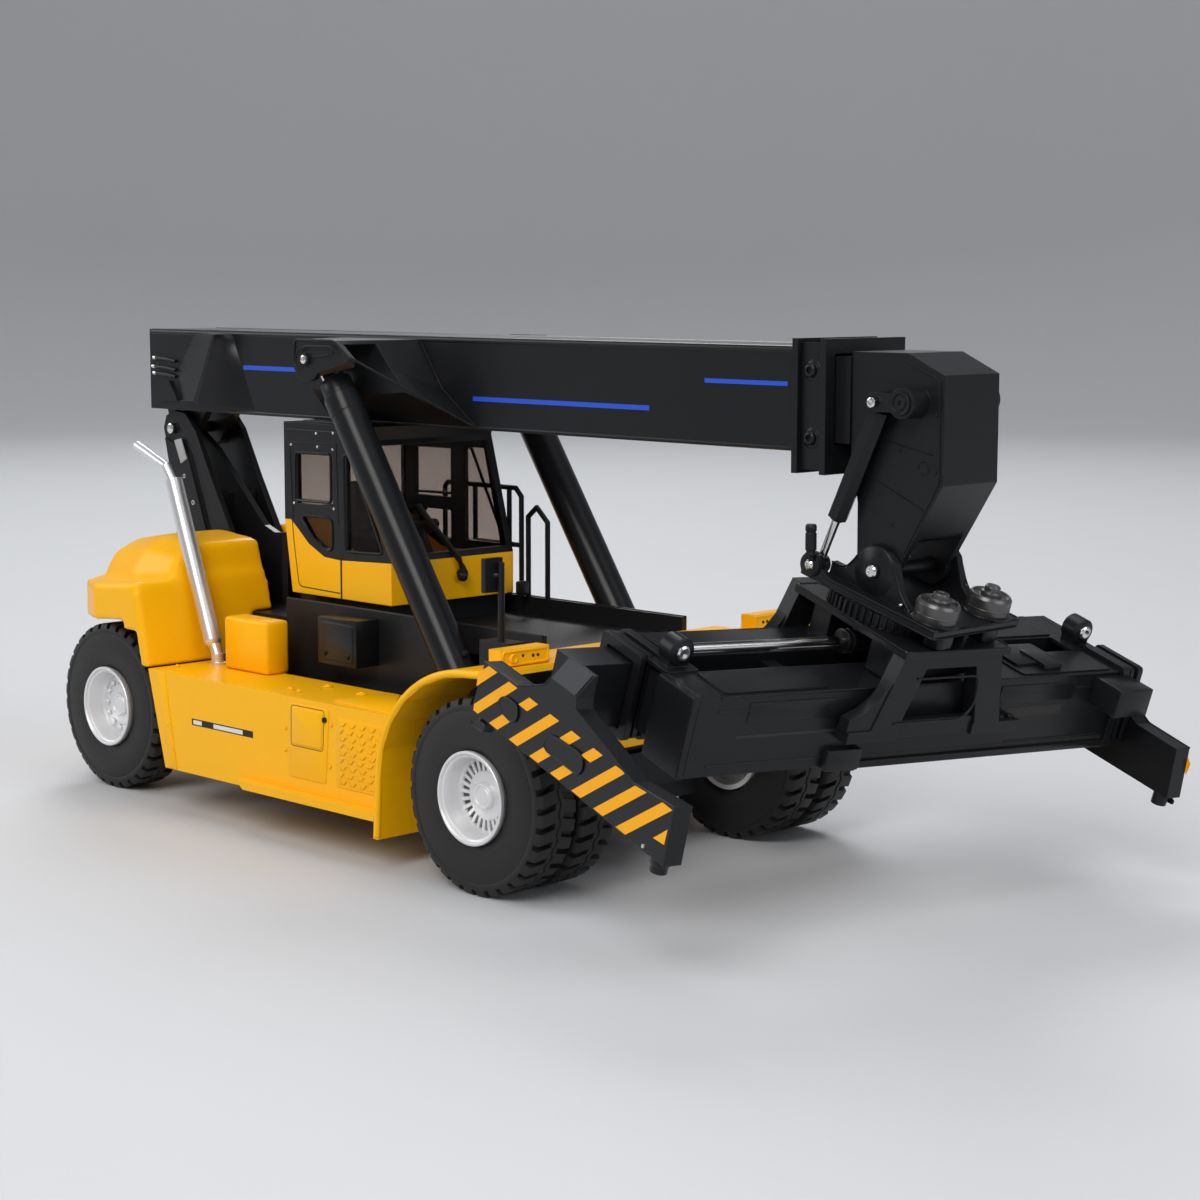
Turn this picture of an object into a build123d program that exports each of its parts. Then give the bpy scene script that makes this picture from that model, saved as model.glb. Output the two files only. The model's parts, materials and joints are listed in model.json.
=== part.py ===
from build123d import *
import math
import os

# Die-cast style scale model (about 1:35) of a container reach stacker, in millimetres.
# +X points forward, +Y to the machine's left, +Z up.  While it is built, x = 0 is the front
# axle and z = 0 the ground; at the end everything is moved so that the origin lies on the
# ground under the middle of the model's outer box.

# ---------------------------------------------------------------- driving dimensions
CLEAR = 0.3            # gap between pieces that move past each other
SEAT = 0.02            # gap between pieces that are pressed or clipped together

# wheels
TYRE_R = 23.0
TYRE_W = 11.8
TYRE_GAP = 1.3         # between the two front tyres of one side
TYRE_BORE_R = 10.4
LUG_COUNT = 18         # in each of a tyre's two rows
LUG_H = 1.5
LUG_SHARE = 0.64       # how much of the pitch a lug takes
LUG_RUN = 4.4          # from the tyre's side in
SIDE_SHARE = 0.955     # size of the tread's outline at the tyre's side
BORE_SIDES = 24
LIP_R = 11.0
LIP_PROUD = 1.1        # how far the rim lip stands out of the tyre
RIM_WALL = 1.0
DISH_DEPTH = 5.5
HUB_R = 3.2
FRONT_FACE_Y = 55.2    # outer side of the outer front tyre
REAR_FACE_Y = 45.8     # outer side of the rear tyre
WHEELBASE = 162.2
AXLE_R = 2.4
AXLE_BEAM = 9.0        # side of the square front axle beam

# chassis and yellow body
BODY_Y = 54.0
BODY_BASE_Z = 12.3
DECK_Z = 38.0
BOX_INNER_Y = 33.0
BOX_BEHIND = 32.7      # rear end of the side boxes, ahead of the rear axle
BOX_FRONT_X = -36.5
FRAME_Y = 17.0
FRAME_BASE_Z = 14.0
FRAME_TOP_Z = 49.5
SHEET = 1.6            # thickness of fenders and walls
FENDER_GAP = 5.0       # above the front tyre
FENDER_STRETCH = 1.12  # the arch is this much wider than a true circle
FENDER_Y = 56.5
FENDER_INNER_Y = 35.8   # leaves room for the lift cylinder beside it
FENDER_FOOT_Z = 8.1
NOSE_X = 7.0           # front end of the yellow fenders
NOSE_Z = 53.0
LAMP_H = 4.0
TRAY_Y = 25.0
TRAY_LEAD = 54.2       # rear end of the deck tray, ahead of the rear axle
TRAY_FRONT_X = -8.7
TRAY_TOP_Z = 56.4
TRAY_FLOOR_Z = 51.5
STEP_Z = 14.6
STEP_OUT = 2.6
HOOD_LEAD = 31.2       # foot of the hood's front wall, ahead of the rear axle
HOOD_TAIL = 35.8       # tail of the hood, behind the rear axle
TAIL_Y = 18.0          # half width of the tail
HOOD_SHOULDER_Z = 60.5
HOOD_BAND_H = 10.1     # height of the band round the hood
HOOD_FALL = 0.084      # how fast the band falls towards the tail
HOOD_LEAN = 5.0        # how far the hood's front leans back from deck to shoulder
HOOD_WALL = 3.0
CROWN_LEAN = 0.27      # lean of the crown's front face
WEIGHT_BASE_Z = 22.0
FRAME_TAIL = 15.8      # rear end of the frame, behind the rear axle

# cab
CAB_Y = 21.1
CAB_LEAD = 49.0        # rear of the cab, ahead of the rear axle
CAB_LENGTH = 44.2
CAB_BASE_Z = 57.5
CAB_ROOF_Z = 103.0
CAB_BELT_Z = 68.5      # top of the yellow band at the front
CAB_REAR_BELT_Z = 77.0
CAB_RAKE = 8.5         # how far the windscreen leans back at the roof
CAB_WALL = 1.5
CAB_POST = 1.8
GLASS = 0.6

# mast and boom
PIVOT_BEHIND = 18.8    # boom pivot, behind the rear axle
PIVOT_Z = 97.7
PIVOT_R = 1.6
MAST_Y = 9.0
MAST_PLATE = 1.8
DOUBLER_T = 1.0        # strip on the outside of each mast plate
BOOM_Y = 12.0
BOOM_TOP_Z = 126.2
BOOM_BASE_Z = 103.4
BOOM_TAIL = 7.0        # rear end of the boom, behind its pivot
BOOM_FRONT_X = 59.0
BOOM_WALL = 1.5
FLANGE_Y = 13.6
FLANGE_T = 1.6
FLANGE_GAP = 6.4
INNER_GAP = 0.5        # between the inner and the outer boom
HEAD_FRONT_X = 97.5
HEAD_Y = 9.5
HEAD_LUG_R = 4.4       # round lug at the tilt pin
FOOT_Y = 6.4
LIFT_RISE = 45.0       # highest boom angle in degrees
REACH = 150.0          # how far the inner boom slides out

# lift cylinders
LIFT_Y = 30.5
LIFT_TOP_X = -83.0
LIFT_TOP_Z = 120.5
LIFT_BASE_X = -26.6
LIFT_BASE_Z = 36.0
LIFT_R = 4.5
LIFT_ROD_R = 2.9
LIFT_HEAD = 11.0       # from the top pin to the gland
LIFT_EYE_R = 3.6
LIFT_EYE_W = 6.0
BRACKET_Y = 36.6       # outer side of the cylinders' brackets on the boom
BRACKET_PLATE = 1.6
BRACKET_BOSS_R = 5.6

# rotator, measured from the tilt pin with the spreader level and straight
TILT_X = 81.2
TILT_Z = 78.6
TILT_REST = 16.7       # nose down, degrees
SLEW_REST = 9.4        # right end back, degrees
ROTATOR_Y = 15.0
ROTATOR_PLATE = 1.8
ROTATOR_TOP = -5.0
ROTATOR_T = 1.7
ROTATOR_FRONT = 21.5
GEAR_R = 15.0
GEAR_T = 3.6
CARRIAGE_T = 1.7
MOTOR_R = 4.8
MOTOR_H = 4.6
MOTOR_X = 16.6
MOTOR_Y = 9.0
DAMPER_Y = 12.1
DAMPER_TOP_X = 83.2
DAMPER_TOP_Z = 114.95
DAMPER_LOW_X = -14.4
DAMPER_LOW_Z = -3.8
DAMPER_R = 2.35        # to the corners of the six-sided barrel
DAMPER_ROD_R = 0.9
DAMPER_PIN_R = 0.9
DAMPER_BARREL = 28.1
DAMPER_EYE_R = 2.2
DAMPER_EYE_HALF = 1.15
DAMPER_EAR_R = 2.9
DAMPER_EYE_BORE_R = 1.35   # loose on its pin, because the eye drifts a little as the spreader tilts
DAMPER_BOSS_AHEAD = 7.3    # boss on the head, ahead of the damper's upper pin
DAMPER_BOSS_R = 3.3

# spreader, in the rotator's own level frame
BEAM_LENGTH = 130.0
BEAM_W = 12.4
BEAM_H = 18.0
BEAM_TOP = -20.6
BEAM_SPACING = 20.0    # between the two beams' middles
BEAM_WALL = 1.4
TELE_GAP = 0.4
ARM_T = 4.4
ARM_DROP = 45.0        # lowest edge of the arms under the tilt pin
ARM_RIGHT_REACH = 17.5 # outer side of the right arm from the beams' end
ARM_LEFT_REACH = 4.9
TELE_LENGTH = 118.0
LOCK_R = 1.8
LOCK_H = 3.0
LOCK_MIDDLE = 2.4      # the middle of an arm, ahead of the beams' middle on the right
LOCK_X = 32.8          # twistlocks stand this far from the middle of the arm
SHIFT_R = 2.4
SHIFT_ROD_R = 1.1


# ---------------------------------------------------------------- helpers
def block(x0, x1, y0, y1, z0, z1):
    """A box between two corners."""
    middle = Pos((x0 + x1) / 2, (y0 + y1) / 2, (z0 + z1) / 2)
    return middle * Box(x1 - x0, y1 - y0, z1 - z0)


def side_plate(outline, y0, y1):
    """A plate whose outline is drawn in the XZ plane, from y0 to y1."""
    corners = [(x, y0, z) for x, z in outline]
    face = make_face(Polyline(*corners, close=True))
    return extrude(face, amount=y1 - y0, dir=(0, 1, 0))


def flat_plate(outline, z0, z1):
    """A plate whose outline is drawn in the XY plane, from z0 to z1."""
    corners = [(x, y, z0) for x, y in outline]
    face = make_face(Polyline(*corners, close=True))
    return extrude(face, amount=z1 - z0, dir=(0, 0, 1))


def bar(start, end, radius):
    """A round bar between two points."""
    run = Vector(*end) - Vector(*start)
    where = Plane(origin=start, z_dir=run)
    return where * Cylinder(radius, run.length, align=(Align.CENTER, Align.CENTER, Align.MIN))


def cross_bar(x, z, y0, y1, radius):
    """A round bar along Y."""
    return bar((x, y0, z), (x, y1, z), radius)


def joined(shapes):
    """One fused shape from a list of shapes."""
    first, *rest = shapes
    return first.fuse(*rest)


def mirrored(shape):
    """The same piece on the machine's other side."""
    return mirror(shape, about=Plane.XZ)


def slab(start, end, half, y0, y1):
    """A flat bar from start to end, two points in XZ, that reaches half to each side."""
    run = math.hypot(end[0] - start[0], end[1] - start[1])
    dx = (end[0] - start[0]) / run
    dz = (end[1] - start[1]) / run
    outline = [
        (start[0] - dz * half, start[1] + dx * half),
        (end[0] - dz * half, end[1] + dx * half),
        (end[0] + dz * half, end[1] - dx * half),
        (start[0] + dz * half, start[1] - dx * half),
    ]
    return side_plate(outline, y0, y1)


nodes = {}


def keep(name, shape):
    """Store a finished sub-part, as its plain solids, under its node name."""
    nodes[name] = Compound(list(shape.solids()))


# ---------------------------------------------------------------- places that follow the rear axle
REAR_X = -WHEELBASE
BOX_REAR_X = REAR_X + BOX_BEHIND
TRAY_REAR_X = REAR_X + TRAY_LEAD
HOOD_FRONT_X = REAR_X + HOOD_LEAD
HOOD_REAR_X = REAR_X - HOOD_TAIL
FRAME_REAR_X = REAR_X - FRAME_TAIL
CAB_REAR_X = REAR_X + CAB_LEAD
CAB_FRONT_X = CAB_REAR_X + CAB_LENGTH
PIVOT_X = REAR_X - PIVOT_BEHIND
BOOM_REAR_X = PIVOT_X - BOOM_TAIL
half = BEAM_LENGTH / 2
ARM_RIGHT_OUT = half + ARM_RIGHT_REACH
ARM_LEFT_OUT = half + ARM_LEFT_REACH

# ---------------------------------------------------------------- wheels
lug_pitch = 2 * math.pi / LUG_COUNT
half_lug = lug_pitch * LUG_SHARE / 2
tip_r = TYRE_R / math.cos(half_lug)      # a lug's flat top then just reaches the tyre's radius
root_r = TYRE_R - LUG_H
tooth = ((-half_lug, root_r), (-half_lug, tip_r), (half_lug, tip_r), (half_lug, root_r))
lug_middles = [i * lug_pitch - math.pi / 2 for i in range(LUG_COUNT)]     # one lug on the ground
toothed = [(middle + turn, r) for middle in lug_middles for turn, r in tooth]
plain = [(middle + turn, r) for middle in lug_middles for turn, r in tooth[1:3]]
bore = [(2 * math.pi * i / BORE_SIDES, TYRE_BORE_R / math.cos(math.pi / BORE_SIDES)) for i in range(BORE_SIDES)]


def ring_face(corners, y, share=1.0):
    """A flat face round the wheel's axis at y, from (angle, radius) corners."""
    points = [(share * r * math.cos(a), y, share * r * math.sin(a)) for a, r in corners]
    return make_face(Polyline(*points, close=True))


def ring_prism(corners, y0, y1):
    """The same outline carried along the axis from y0 to y1."""
    return extrude(ring_face(corners, y0), amount=y1 - y0, dir=(0, 1, 0))


def tyre(x, face_y):
    """One tyre of the right side; face_y is the distance of its outer side from the middle."""
    y_out = -face_y
    y_in = y_out + TYRE_W
    body = ring_prism(plain, y_out + LUG_RUN, y_in - LUG_RUN)
    for side_y, run in ((y_out, LUG_RUN), (y_in, -LUG_RUN)):
        body += loft([ring_face(toothed, side_y, SIDE_SHARE), ring_face(toothed, side_y + run)], ruled=True)
    body -= ring_prism(bore, y_out - 1, y_in + 1)
    return Pos(x, 0, TYRE_R) * body


def rim(x, face_y, inner_y):
    """A dished rim of the right side from its lip in to inner_y, with a disc and a hub cap."""
    lip_y = -face_y - LIP_PROUD
    tube_r = TYRE_BORE_R - SEAT
    disc_y = lip_y + DISH_DEPTH
    profile = [
        (AXLE_R + CLEAR, disc_y + 1.6),
        (AXLE_R + CLEAR, disc_y - 1.2),
        (HUB_R, disc_y - 1.2),
        (HUB_R, disc_y),
        (tube_r - RIM_WALL - 1.6, disc_y),
        (LIP_R - RIM_WALL, lip_y),
        (LIP_R, lip_y),
        (LIP_R, -face_y - SEAT),
        (tube_r, -face_y - SEAT),
        (tube_r, -inner_y),
        (tube_r - RIM_WALL, -inner_y),
        (tube_r - RIM_WALL, disc_y + 1.6),
    ]
    face = make_face(Polyline(*[(r, y, 0) for r, y in profile], close=True))
    body = revolve(face, axis=Axis.Y)
    cap = cross_bar(0, 0, disc_y - 2.0, disc_y - 1.2 + SEAT, HUB_R)
    return Pos(x, 0, TYRE_R) * (body + cap)


FRONT_INNER_Y = FRONT_FACE_Y - 2 * TYRE_W - TYRE_GAP
REAR_INNER_Y = REAR_FACE_Y - TYRE_W
KINGPIN_Y = REAR_INNER_Y - 3.2

front_tyres = tyre(0, FRONT_FACE_Y) + tyre(0, FRONT_FACE_Y - TYRE_W - TYRE_GAP)
front_rim = rim(0, FRONT_FACE_Y, FRONT_INNER_Y)
rear_tyre = tyre(REAR_X, REAR_FACE_Y)
rear_rim = rim(REAR_X, REAR_FACE_Y, REAR_INNER_Y)
for side, place in (("right", lambda s: s), ("left", mirrored)):
    keep(f"front_tyres_{side}", place(front_tyres))
    keep(f"front_rim_{side}", place(front_rim))
    keep(f"rear_tyre_{side}", place(rear_tyre))
    keep(f"rear_rim_{side}", place(rear_rim))

# front axle: a beam with a stub into each dual rim
front_stub_end = FRONT_FACE_Y + LIP_PROUD - DISH_DEPTH
front_axle = block(-AXLE_BEAM / 2, AXLE_BEAM / 2, -FRAME_Y - 9, FRAME_Y + 9,
                   TYRE_R - AXLE_BEAM / 2, TYRE_R + AXLE_BEAM / 2)
front_axle += cross_bar(0, TYRE_R, -front_stub_end, front_stub_end, AXLE_R)
keep("front_axle", front_axle)

# rear steering axle: beam, two knuckles on vertical kingpins, each with a stub axle
KNUCKLE_H = 8.0
KNUCKLE_HALF = 2.4
KNUCKLE_TURN_R = KNUCKLE_HALF * math.sqrt(2) + CLEAR   # room for its corners as it steers
KINGPIN_R = 1.4
KINGPIN_LENGTH = 12.6
FORK_HALF = 3.0
FORK_HEIGHT = 13.0
REAR_BEAM_HALF = 4.0
REAR_BEAM_TOP = TYRE_R + 4.5
REAR_BEAM_BASE = TYRE_R - 3.5
FORK_BACK = 5.0        # how far the fork reaches in from the kingpin
rear_beam = block(REAR_X - REAR_BEAM_HALF, REAR_X + REAR_BEAM_HALF, -KINGPIN_Y + FORK_BACK - 0.8,
                  KINGPIN_Y - FORK_BACK + 0.8, REAR_BEAM_BASE, REAR_BEAM_TOP)
fork = block(REAR_X - FORK_HALF, REAR_X + FORK_HALF, -KINGPIN_Y - KNUCKLE_HALF, -KINGPIN_Y + FORK_BACK,
             TYRE_R - FORK_HEIGHT / 2, TYRE_R + FORK_HEIGHT / 2)
fork -= block(REAR_X - FORK_HALF - 1, REAR_X + FORK_HALF + 1, -KINGPIN_Y - KNUCKLE_HALF - 1,
              -KINGPIN_Y + KNUCKLE_TURN_R, TYRE_R - KNUCKLE_H / 2 - CLEAR, TYRE_R + KNUCKLE_H / 2 + CLEAR)
fork -= Pos(REAR_X, -KINGPIN_Y, TYRE_R) * Cylinder(KINGPIN_R + 0.05, FORK_HEIGHT + 2)
keep("rear_axle", rear_beam + fork + mirrored(fork))
knuckle = block(REAR_X - KNUCKLE_HALF, REAR_X + KNUCKLE_HALF,
                -KINGPIN_Y - KNUCKLE_HALF, -KINGPIN_Y + KNUCKLE_HALF,
                TYRE_R - KNUCKLE_H / 2, TYRE_R + KNUCKLE_H / 2)
knuckle += Pos(REAR_X, -KINGPIN_Y, TYRE_R) * Cylinder(KINGPIN_R, KINGPIN_LENGTH)
knuckle += cross_bar(REAR_X, TYRE_R, -REAR_FACE_Y - LIP_PROUD + DISH_DEPTH, -KINGPIN_Y, AXLE_R)
keep("knuckle_right", knuckle)
keep("knuckle_left", mirrored(knuckle))

# ---------------------------------------------------------------- chassis frame
frame = block(FRAME_REAR_X, BOX_FRONT_X, -FRAME_Y, FRAME_Y, FRAME_BASE_Z + 18, FRAME_TOP_Z)
frame += block(BOX_REAR_X + 1.5, BOX_FRONT_X, -FRAME_Y, FRAME_Y, FRAME_BASE_Z, FRAME_TOP_Z)
frame += block(BOX_FRONT_X, NOSE_X - 5, -FRAME_Y, FRAME_Y, FRAME_BASE_Z, FRAME_TOP_Z)
frame += block(BOX_REAR_X + 2.5, BOX_FRONT_X - 3.5, -BOX_INNER_Y + SEAT, BOX_INNER_Y - SEAT,
               FRAME_BASE_Z, DECK_Z - 2)
frame -= block(-AXLE_BEAM / 2 - SEAT, AXLE_BEAM / 2 + SEAT, -FRAME_Y - 1, FRAME_Y + 1,
               TYRE_R - AXLE_BEAM / 2 - SEAT, TYRE_R + AXLE_BEAM / 2 + SEAT)
# pedestal on the rear axle
frame += block(REAR_X - 6, REAR_X + 6, -8, 8, REAR_BEAM_TOP + SEAT, FRAME_BASE_Z + 19)
# lugs and pins that carry the lift cylinders' lower eyes
LIFT_PIN_R = 1.6
for side in (-1, 1):
    inner = side * (FRAME_Y - 0.5)
    outer_face = side * (LIFT_Y - LIFT_EYE_W / 2 - CLEAR)
    frame += block(LIFT_BASE_X - 4, LIFT_BASE_X + 4, min(inner, outer_face), max(inner, outer_face),
                   LIFT_BASE_Z - 4, LIFT_BASE_Z + 4)
    frame += cross_bar(LIFT_BASE_X, LIFT_BASE_Z, side * FRAME_Y,
                       side * (LIFT_Y + LIFT_EYE_W / 2 + 0.6), LIFT_PIN_R)
keep("chassis_frame", frame)

# deck tray with its side walls
tray = block(TRAY_REAR_X, TRAY_FRONT_X, -TRAY_Y, TRAY_Y, FRAME_TOP_Z + SEAT, TRAY_TOP_Z)
tray -= block(TRAY_REAR_X - 1, TRAY_FRONT_X + 1, -TRAY_Y + SHEET, TRAY_Y - SHEET,
              TRAY_FLOOR_Z, TRAY_TOP_Z + 1)
for y0, y1 in ((-TRAY_Y, -FRAME_Y - SEAT), (FRAME_Y + SEAT, TRAY_Y)):
    tray += block(TRAY_REAR_X, BOX_FRONT_X - 4, y0, y1, DECK_Z - 2 + SEAT, FRAME_TOP_Z + 1)
keep("deck_tray", tray)

# ---------------------------------------------------------------- yellow side boxes and fenders
FENDER_IN_R = TYRE_R + FENDER_GAP


def fender_outline(radius):
    """Front mudguard arc seen from the side, from the nose back and down to its foot."""
    points = []
    for degrees in (90, 105, 120, 135, 150, 165, 180):
        a = math.radians(degrees)
        points.append((radius * FENDER_STRETCH * math.cos(a), TYRE_R + radius * math.sin(a)))
    return points


outer_arc = fender_outline(FENDER_IN_R + SHEET)
inner_arc = fender_outline(FENDER_IN_R)
outer_foot = (outer_arc[-1][0] - 1.0, FENDER_FOOT_Z)
inner_foot = (inner_arc[-1][0] - 1.0, FENDER_FOOT_Z)
fender = side_plate([(NOSE_X, NOSE_Z)] + outer_arc + [outer_foot, inner_foot]
                    + inner_arc[::-1] + [(NOSE_X, NOSE_Z - SHEET)], -FENDER_Y, -FENDER_INNER_Y)
side_box = side_plate(
    [(BOX_REAR_X + 6, BODY_BASE_Z), (BOX_REAR_X - 1.0, DECK_Z), (BOX_FRONT_X + 6.5, DECK_Z),
     (BOX_FRONT_X + 2.5, BODY_BASE_Z)],
    -BODY_Y, -BOX_INNER_Y)
step = side_plate(
    [(BOX_FRONT_X - 52.5, STEP_Z), (BOX_FRONT_X - 49.5, STEP_Z - 2.3), (BOX_FRONT_X + 2.6, STEP_Z - 2.3),
     (BOX_FRONT_X + 2.9, STEP_Z)],
    -BODY_Y - STEP_OUT, -BODY_Y + 0.5)
body_right = side_box + fender + step
body_right -= block(BOX_FRONT_X - 12, NOSE_X, -FENDER_INNER_Y, -FRAME_Y, BODY_BASE_Z + 6, NOSE_Z - SHEET - 1)
keep("body_right", body_right)
keep("body_left", mirrored(body_right))

# front cross member between the fenders, with a lamp bracket on each side
cross_y = FENDER_INNER_Y - SEAT
nose_y = FRONT_INNER_Y - 2.0
cross = block(NOSE_X - 5, NOSE_X, -nose_y, nose_y, 30, NOSE_Z)
cross += block(TRAY_FRONT_X + SEAT, NOSE_X, -cross_y, cross_y, NOSE_Z - SHEET, NOSE_Z)
keep("front_cross_member", cross)
lamp_bracket = block(NOSE_X - 6.5, NOSE_X - 2.3, -50.3, -FENDER_INNER_Y + 0.5, NOSE_Z + SEAT, NOSE_Z + LAMP_H)
keep("lamp_bracket_right", lamp_bracket)
keep("lamp_bracket_left", mirrored(lamp_bracket))

# ---------------------------------------------------------------- rear hood
hood_top_x = HOOD_FRONT_X - HOOD_LEAN      # the hood's front at shoulder height
# plan of the band's right half as (x, y), from the front corner round to the tail
hood_plan = [(hood_top_x, -BODY_Y), (REAR_X + 6.2, -BODY_Y), (REAR_X - 10.8, -45.0), (REAR_X - 25.3, -31.5),
             (HOOD_REAR_X, -TAIL_Y)]


def band_top(x):
    """Height of the band's upper edge, which falls towards the tail."""
    return HOOD_SHOULDER_Z + HOOD_FALL * (x - hood_top_x)


def both_sides(half_plan):
    """A closed outline from its right half, given as (first, y)."""
    return half_plan + [(first, -y) for first, y in half_plan[::-1]]


def crown_face(x, lean, foot, shoulder, top):
    """A section across the crown from (y, height over the shoulder line) of its three edges."""
    skirt = (foot[0], band_top(x) - HOOD_SHOULDER_Z - 0.5)
    right = [(rise, -y) for y, rise in (skirt, foot, shoulder, top)]
    corners = [(x - lean * rise, y, HOOD_SHOULDER_Z + rise) for rise, y in both_sides(right)]
    return make_face(Polyline(*corners, close=True))


band_profile = [(hood_top_x, band_top(hood_top_x)), (HOOD_REAR_X, band_top(HOOD_REAR_X)),
                (HOOD_REAR_X, band_top(HOOD_REAR_X) - HOOD_BAND_H), (hood_top_x, HOOD_SHOULDER_Z - HOOD_BAND_H)]
band = flat_plate(both_sides(hood_plan), 0, HOOD_SHOULDER_Z) & side_plate(band_profile, -BODY_Y - 1, BODY_Y + 1)
# crown sections: x, lean, foot, shoulder, top
crown_sections = [
    (hood_top_x - 0.8, CROWN_LEAN, (42.3, -0.1), (38.0, 5.5), (33.5, 8.5)),
    (REAR_X + 7.2, 0, (42.0, -0.1), (37.5, 6.5), (31.0, 10.0)),
    (REAR_X - 13.8, 0, (36.5, -1.0), (33.5, 3.5), (26.0, 6.8)),
    (REAR_X - 29.8, 0, (20.0, -2.0), (18.0, 0.0), (13.0, 1.5)),
]
crown = loft([crown_face(*section) for section in crown_sections], ruled=True)
wall = side_plate([(HOOD_FRONT_X, DECK_Z + SEAT), (hood_top_x, HOOD_SHOULDER_Z),
                   (hood_top_x - HOOD_WALL, HOOD_SHOULDER_Z - 1), (HOOD_FRONT_X - HOOD_WALL, DECK_Z + SEAT)],
                  -BODY_Y, BODY_Y)
weight = block(HOOD_REAR_X, FRAME_REAR_X - SEAT, -TAIL_Y, TAIL_Y, WEIGHT_BASE_Z, band_top(HOOD_REAR_X) - 1)
hood = band + crown + wall + weight
for y0, y1 in ((-BODY_Y, -BODY_Y + 4), (BODY_Y - 4, BODY_Y)):
    hood += block(hood_top_x - 6, hood_top_x, y0, y1, HOOD_SHOULDER_Z - HOOD_BAND_H - 3, HOOD_SHOULDER_Z - 5)
hood -= block(FRAME_REAR_X - SEAT, HOOD_FRONT_X + 2, -FRAME_Y - SEAT, FRAME_Y + SEAT, 0, FRAME_TOP_Z + SEAT)
slot_y = MAST_Y + DOUBLER_T + CLEAR
hood -= block(PIVOT_X - 9, HOOD_FRONT_X + 2, -slot_y, slot_y, FRAME_TOP_Z, 90)
keep("hood", hood)

# ---------------------------------------------------------------- cab
cab_side = [(CAB_REAR_X + 2.9, CAB_BASE_Z), (CAB_FRONT_X, CAB_BASE_Z), (CAB_FRONT_X, CAB_BELT_Z),
            (CAB_FRONT_X - CAB_RAKE, CAB_ROOF_Z - 3.5), (CAB_FRONT_X - CAB_RAKE + 1, CAB_ROOF_Z),
            (CAB_REAR_X, CAB_ROOF_Z), (CAB_REAR_X, CAB_REAR_BELT_Z)]
cab_room = [(CAB_REAR_X + 4.4, CAB_BASE_Z + CAB_WALL), (CAB_FRONT_X - CAB_WALL, CAB_BASE_Z + CAB_WALL),
            (CAB_FRONT_X - CAB_WALL, CAB_BELT_Z), (CAB_FRONT_X - CAB_RAKE - CAB_WALL, CAB_ROOF_Z - 3.0),
            (CAB_REAR_X + CAB_WALL, CAB_ROOF_Z - 3.0), (CAB_REAR_X + CAB_WALL, CAB_REAR_BELT_Z)]
shell = side_plate(cab_side, -CAB_Y, CAB_Y) - side_plate(cab_room, -CAB_Y + CAB_WALL, CAB_Y - CAB_WALL)
# windows as (outline in XZ) cut through both sides
door_x = CAB_REAR_X + 20.7       # front edge of the two rear windows
door_window = [(CAB_REAR_X + 5.7, CAB_BASE_Z + 24.0), (door_x, CAB_BASE_Z + 24.0), (door_x, CAB_ROOF_Z - 8.2),
               (CAB_REAR_X + 5.7, CAB_ROOF_Z - 8.2)]
low_window = [(CAB_REAR_X + 7.2, CAB_BASE_Z + 20.5), (door_x, CAB_BASE_Z + 20.5), (door_x, CAB_BASE_Z + 12.3),
              (CAB_REAR_X + 17.2, CAB_BASE_Z + 12.7), (CAB_REAR_X + 11.7, CAB_BASE_Z + 15.5)]
side_window = [(CAB_REAR_X + 26.4, CAB_BELT_Z + 1.9), (CAB_FRONT_X - 3.5, CAB_BELT_Z + 1.9),
               (CAB_FRONT_X - 10.0, CAB_ROOF_Z - 7.4), (CAB_REAR_X + 26.4, CAB_ROOF_Z - 7.4)]
side_windows = [door_window, low_window, side_window]
for outline in side_windows:
    shell -= side_plate(outline, -CAB_Y - 1, CAB_Y + 1)
WIND_Y = CAB_Y - CAB_POST
rake = CAB_RAKE / (CAB_ROOF_Z - 3.5 - CAB_BELT_Z)


def screen_x(z):
    """Outer face of the windscreen at height z."""
    return CAB_FRONT_X - rake * (z - CAB_BELT_Z)


def screen_plate(z0, z1, outside, inside):
    """A slab parallel to the windscreen between two depths behind its outer face."""
    return side_plate([(screen_x(z0) - outside, z0), (screen_x(z1) - outside, z1),
                       (screen_x(z1) - inside, z1), (screen_x(z0) - inside, z0)], -WIND_Y, WIND_Y)


shell -= screen_plate(CAB_BELT_Z + 1.6, CAB_ROOF_Z - 5, -2, 4)
rear_window = block(CAB_REAR_X - 1, CAB_REAR_X + 3, -WIND_Y, WIND_Y, CAB_REAR_BELT_Z + 3, CAB_ROOF_Z - 7)
shell -= rear_window
belt = [(CAB_REAR_X - 1, CAB_BASE_Z - 1), (CAB_FRONT_X + 1, CAB_BASE_Z - 1), (CAB_FRONT_X + 1, CAB_BELT_Z),
        (CAB_REAR_X + 23.2, CAB_BELT_Z - 0.9), (CAB_REAR_X + 16.7, CAB_BELT_Z - 0.5),
        (CAB_REAR_X + 10.2, CAB_BELT_Z + 2.5), (CAB_REAR_X + 4.6, CAB_BELT_Z + 7.0),
        (CAB_REAR_X + 2.6, CAB_REAR_BELT_Z), (CAB_REAR_X - 1, CAB_REAR_BELT_Z)]
belt_solid = side_plate(belt, -CAB_Y - 1, CAB_Y + 1)
keep("cab_lower", shell & belt_solid)
keep("cab_upper", shell - belt_solid)
panes = []
for outline in side_windows:
    mid_x = sum(x for x, z in outline) / len(outline)
    mid_z = sum(z for x, z in outline) / len(outline)
    small = [(mid_x + (x - mid_x) * 0.995, mid_z + (z - mid_z) * 0.995) for x, z in outline]
    for y0 in (-CAB_Y + 0.5, CAB_Y - 0.5 - GLASS):
        panes.append(side_plate(small, y0, y0 + GLASS))
pane = screen_plate(CAB_BELT_Z + 1.65, CAB_ROOF_Z - 5.05, 0.5, 0.5 + GLASS)
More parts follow.
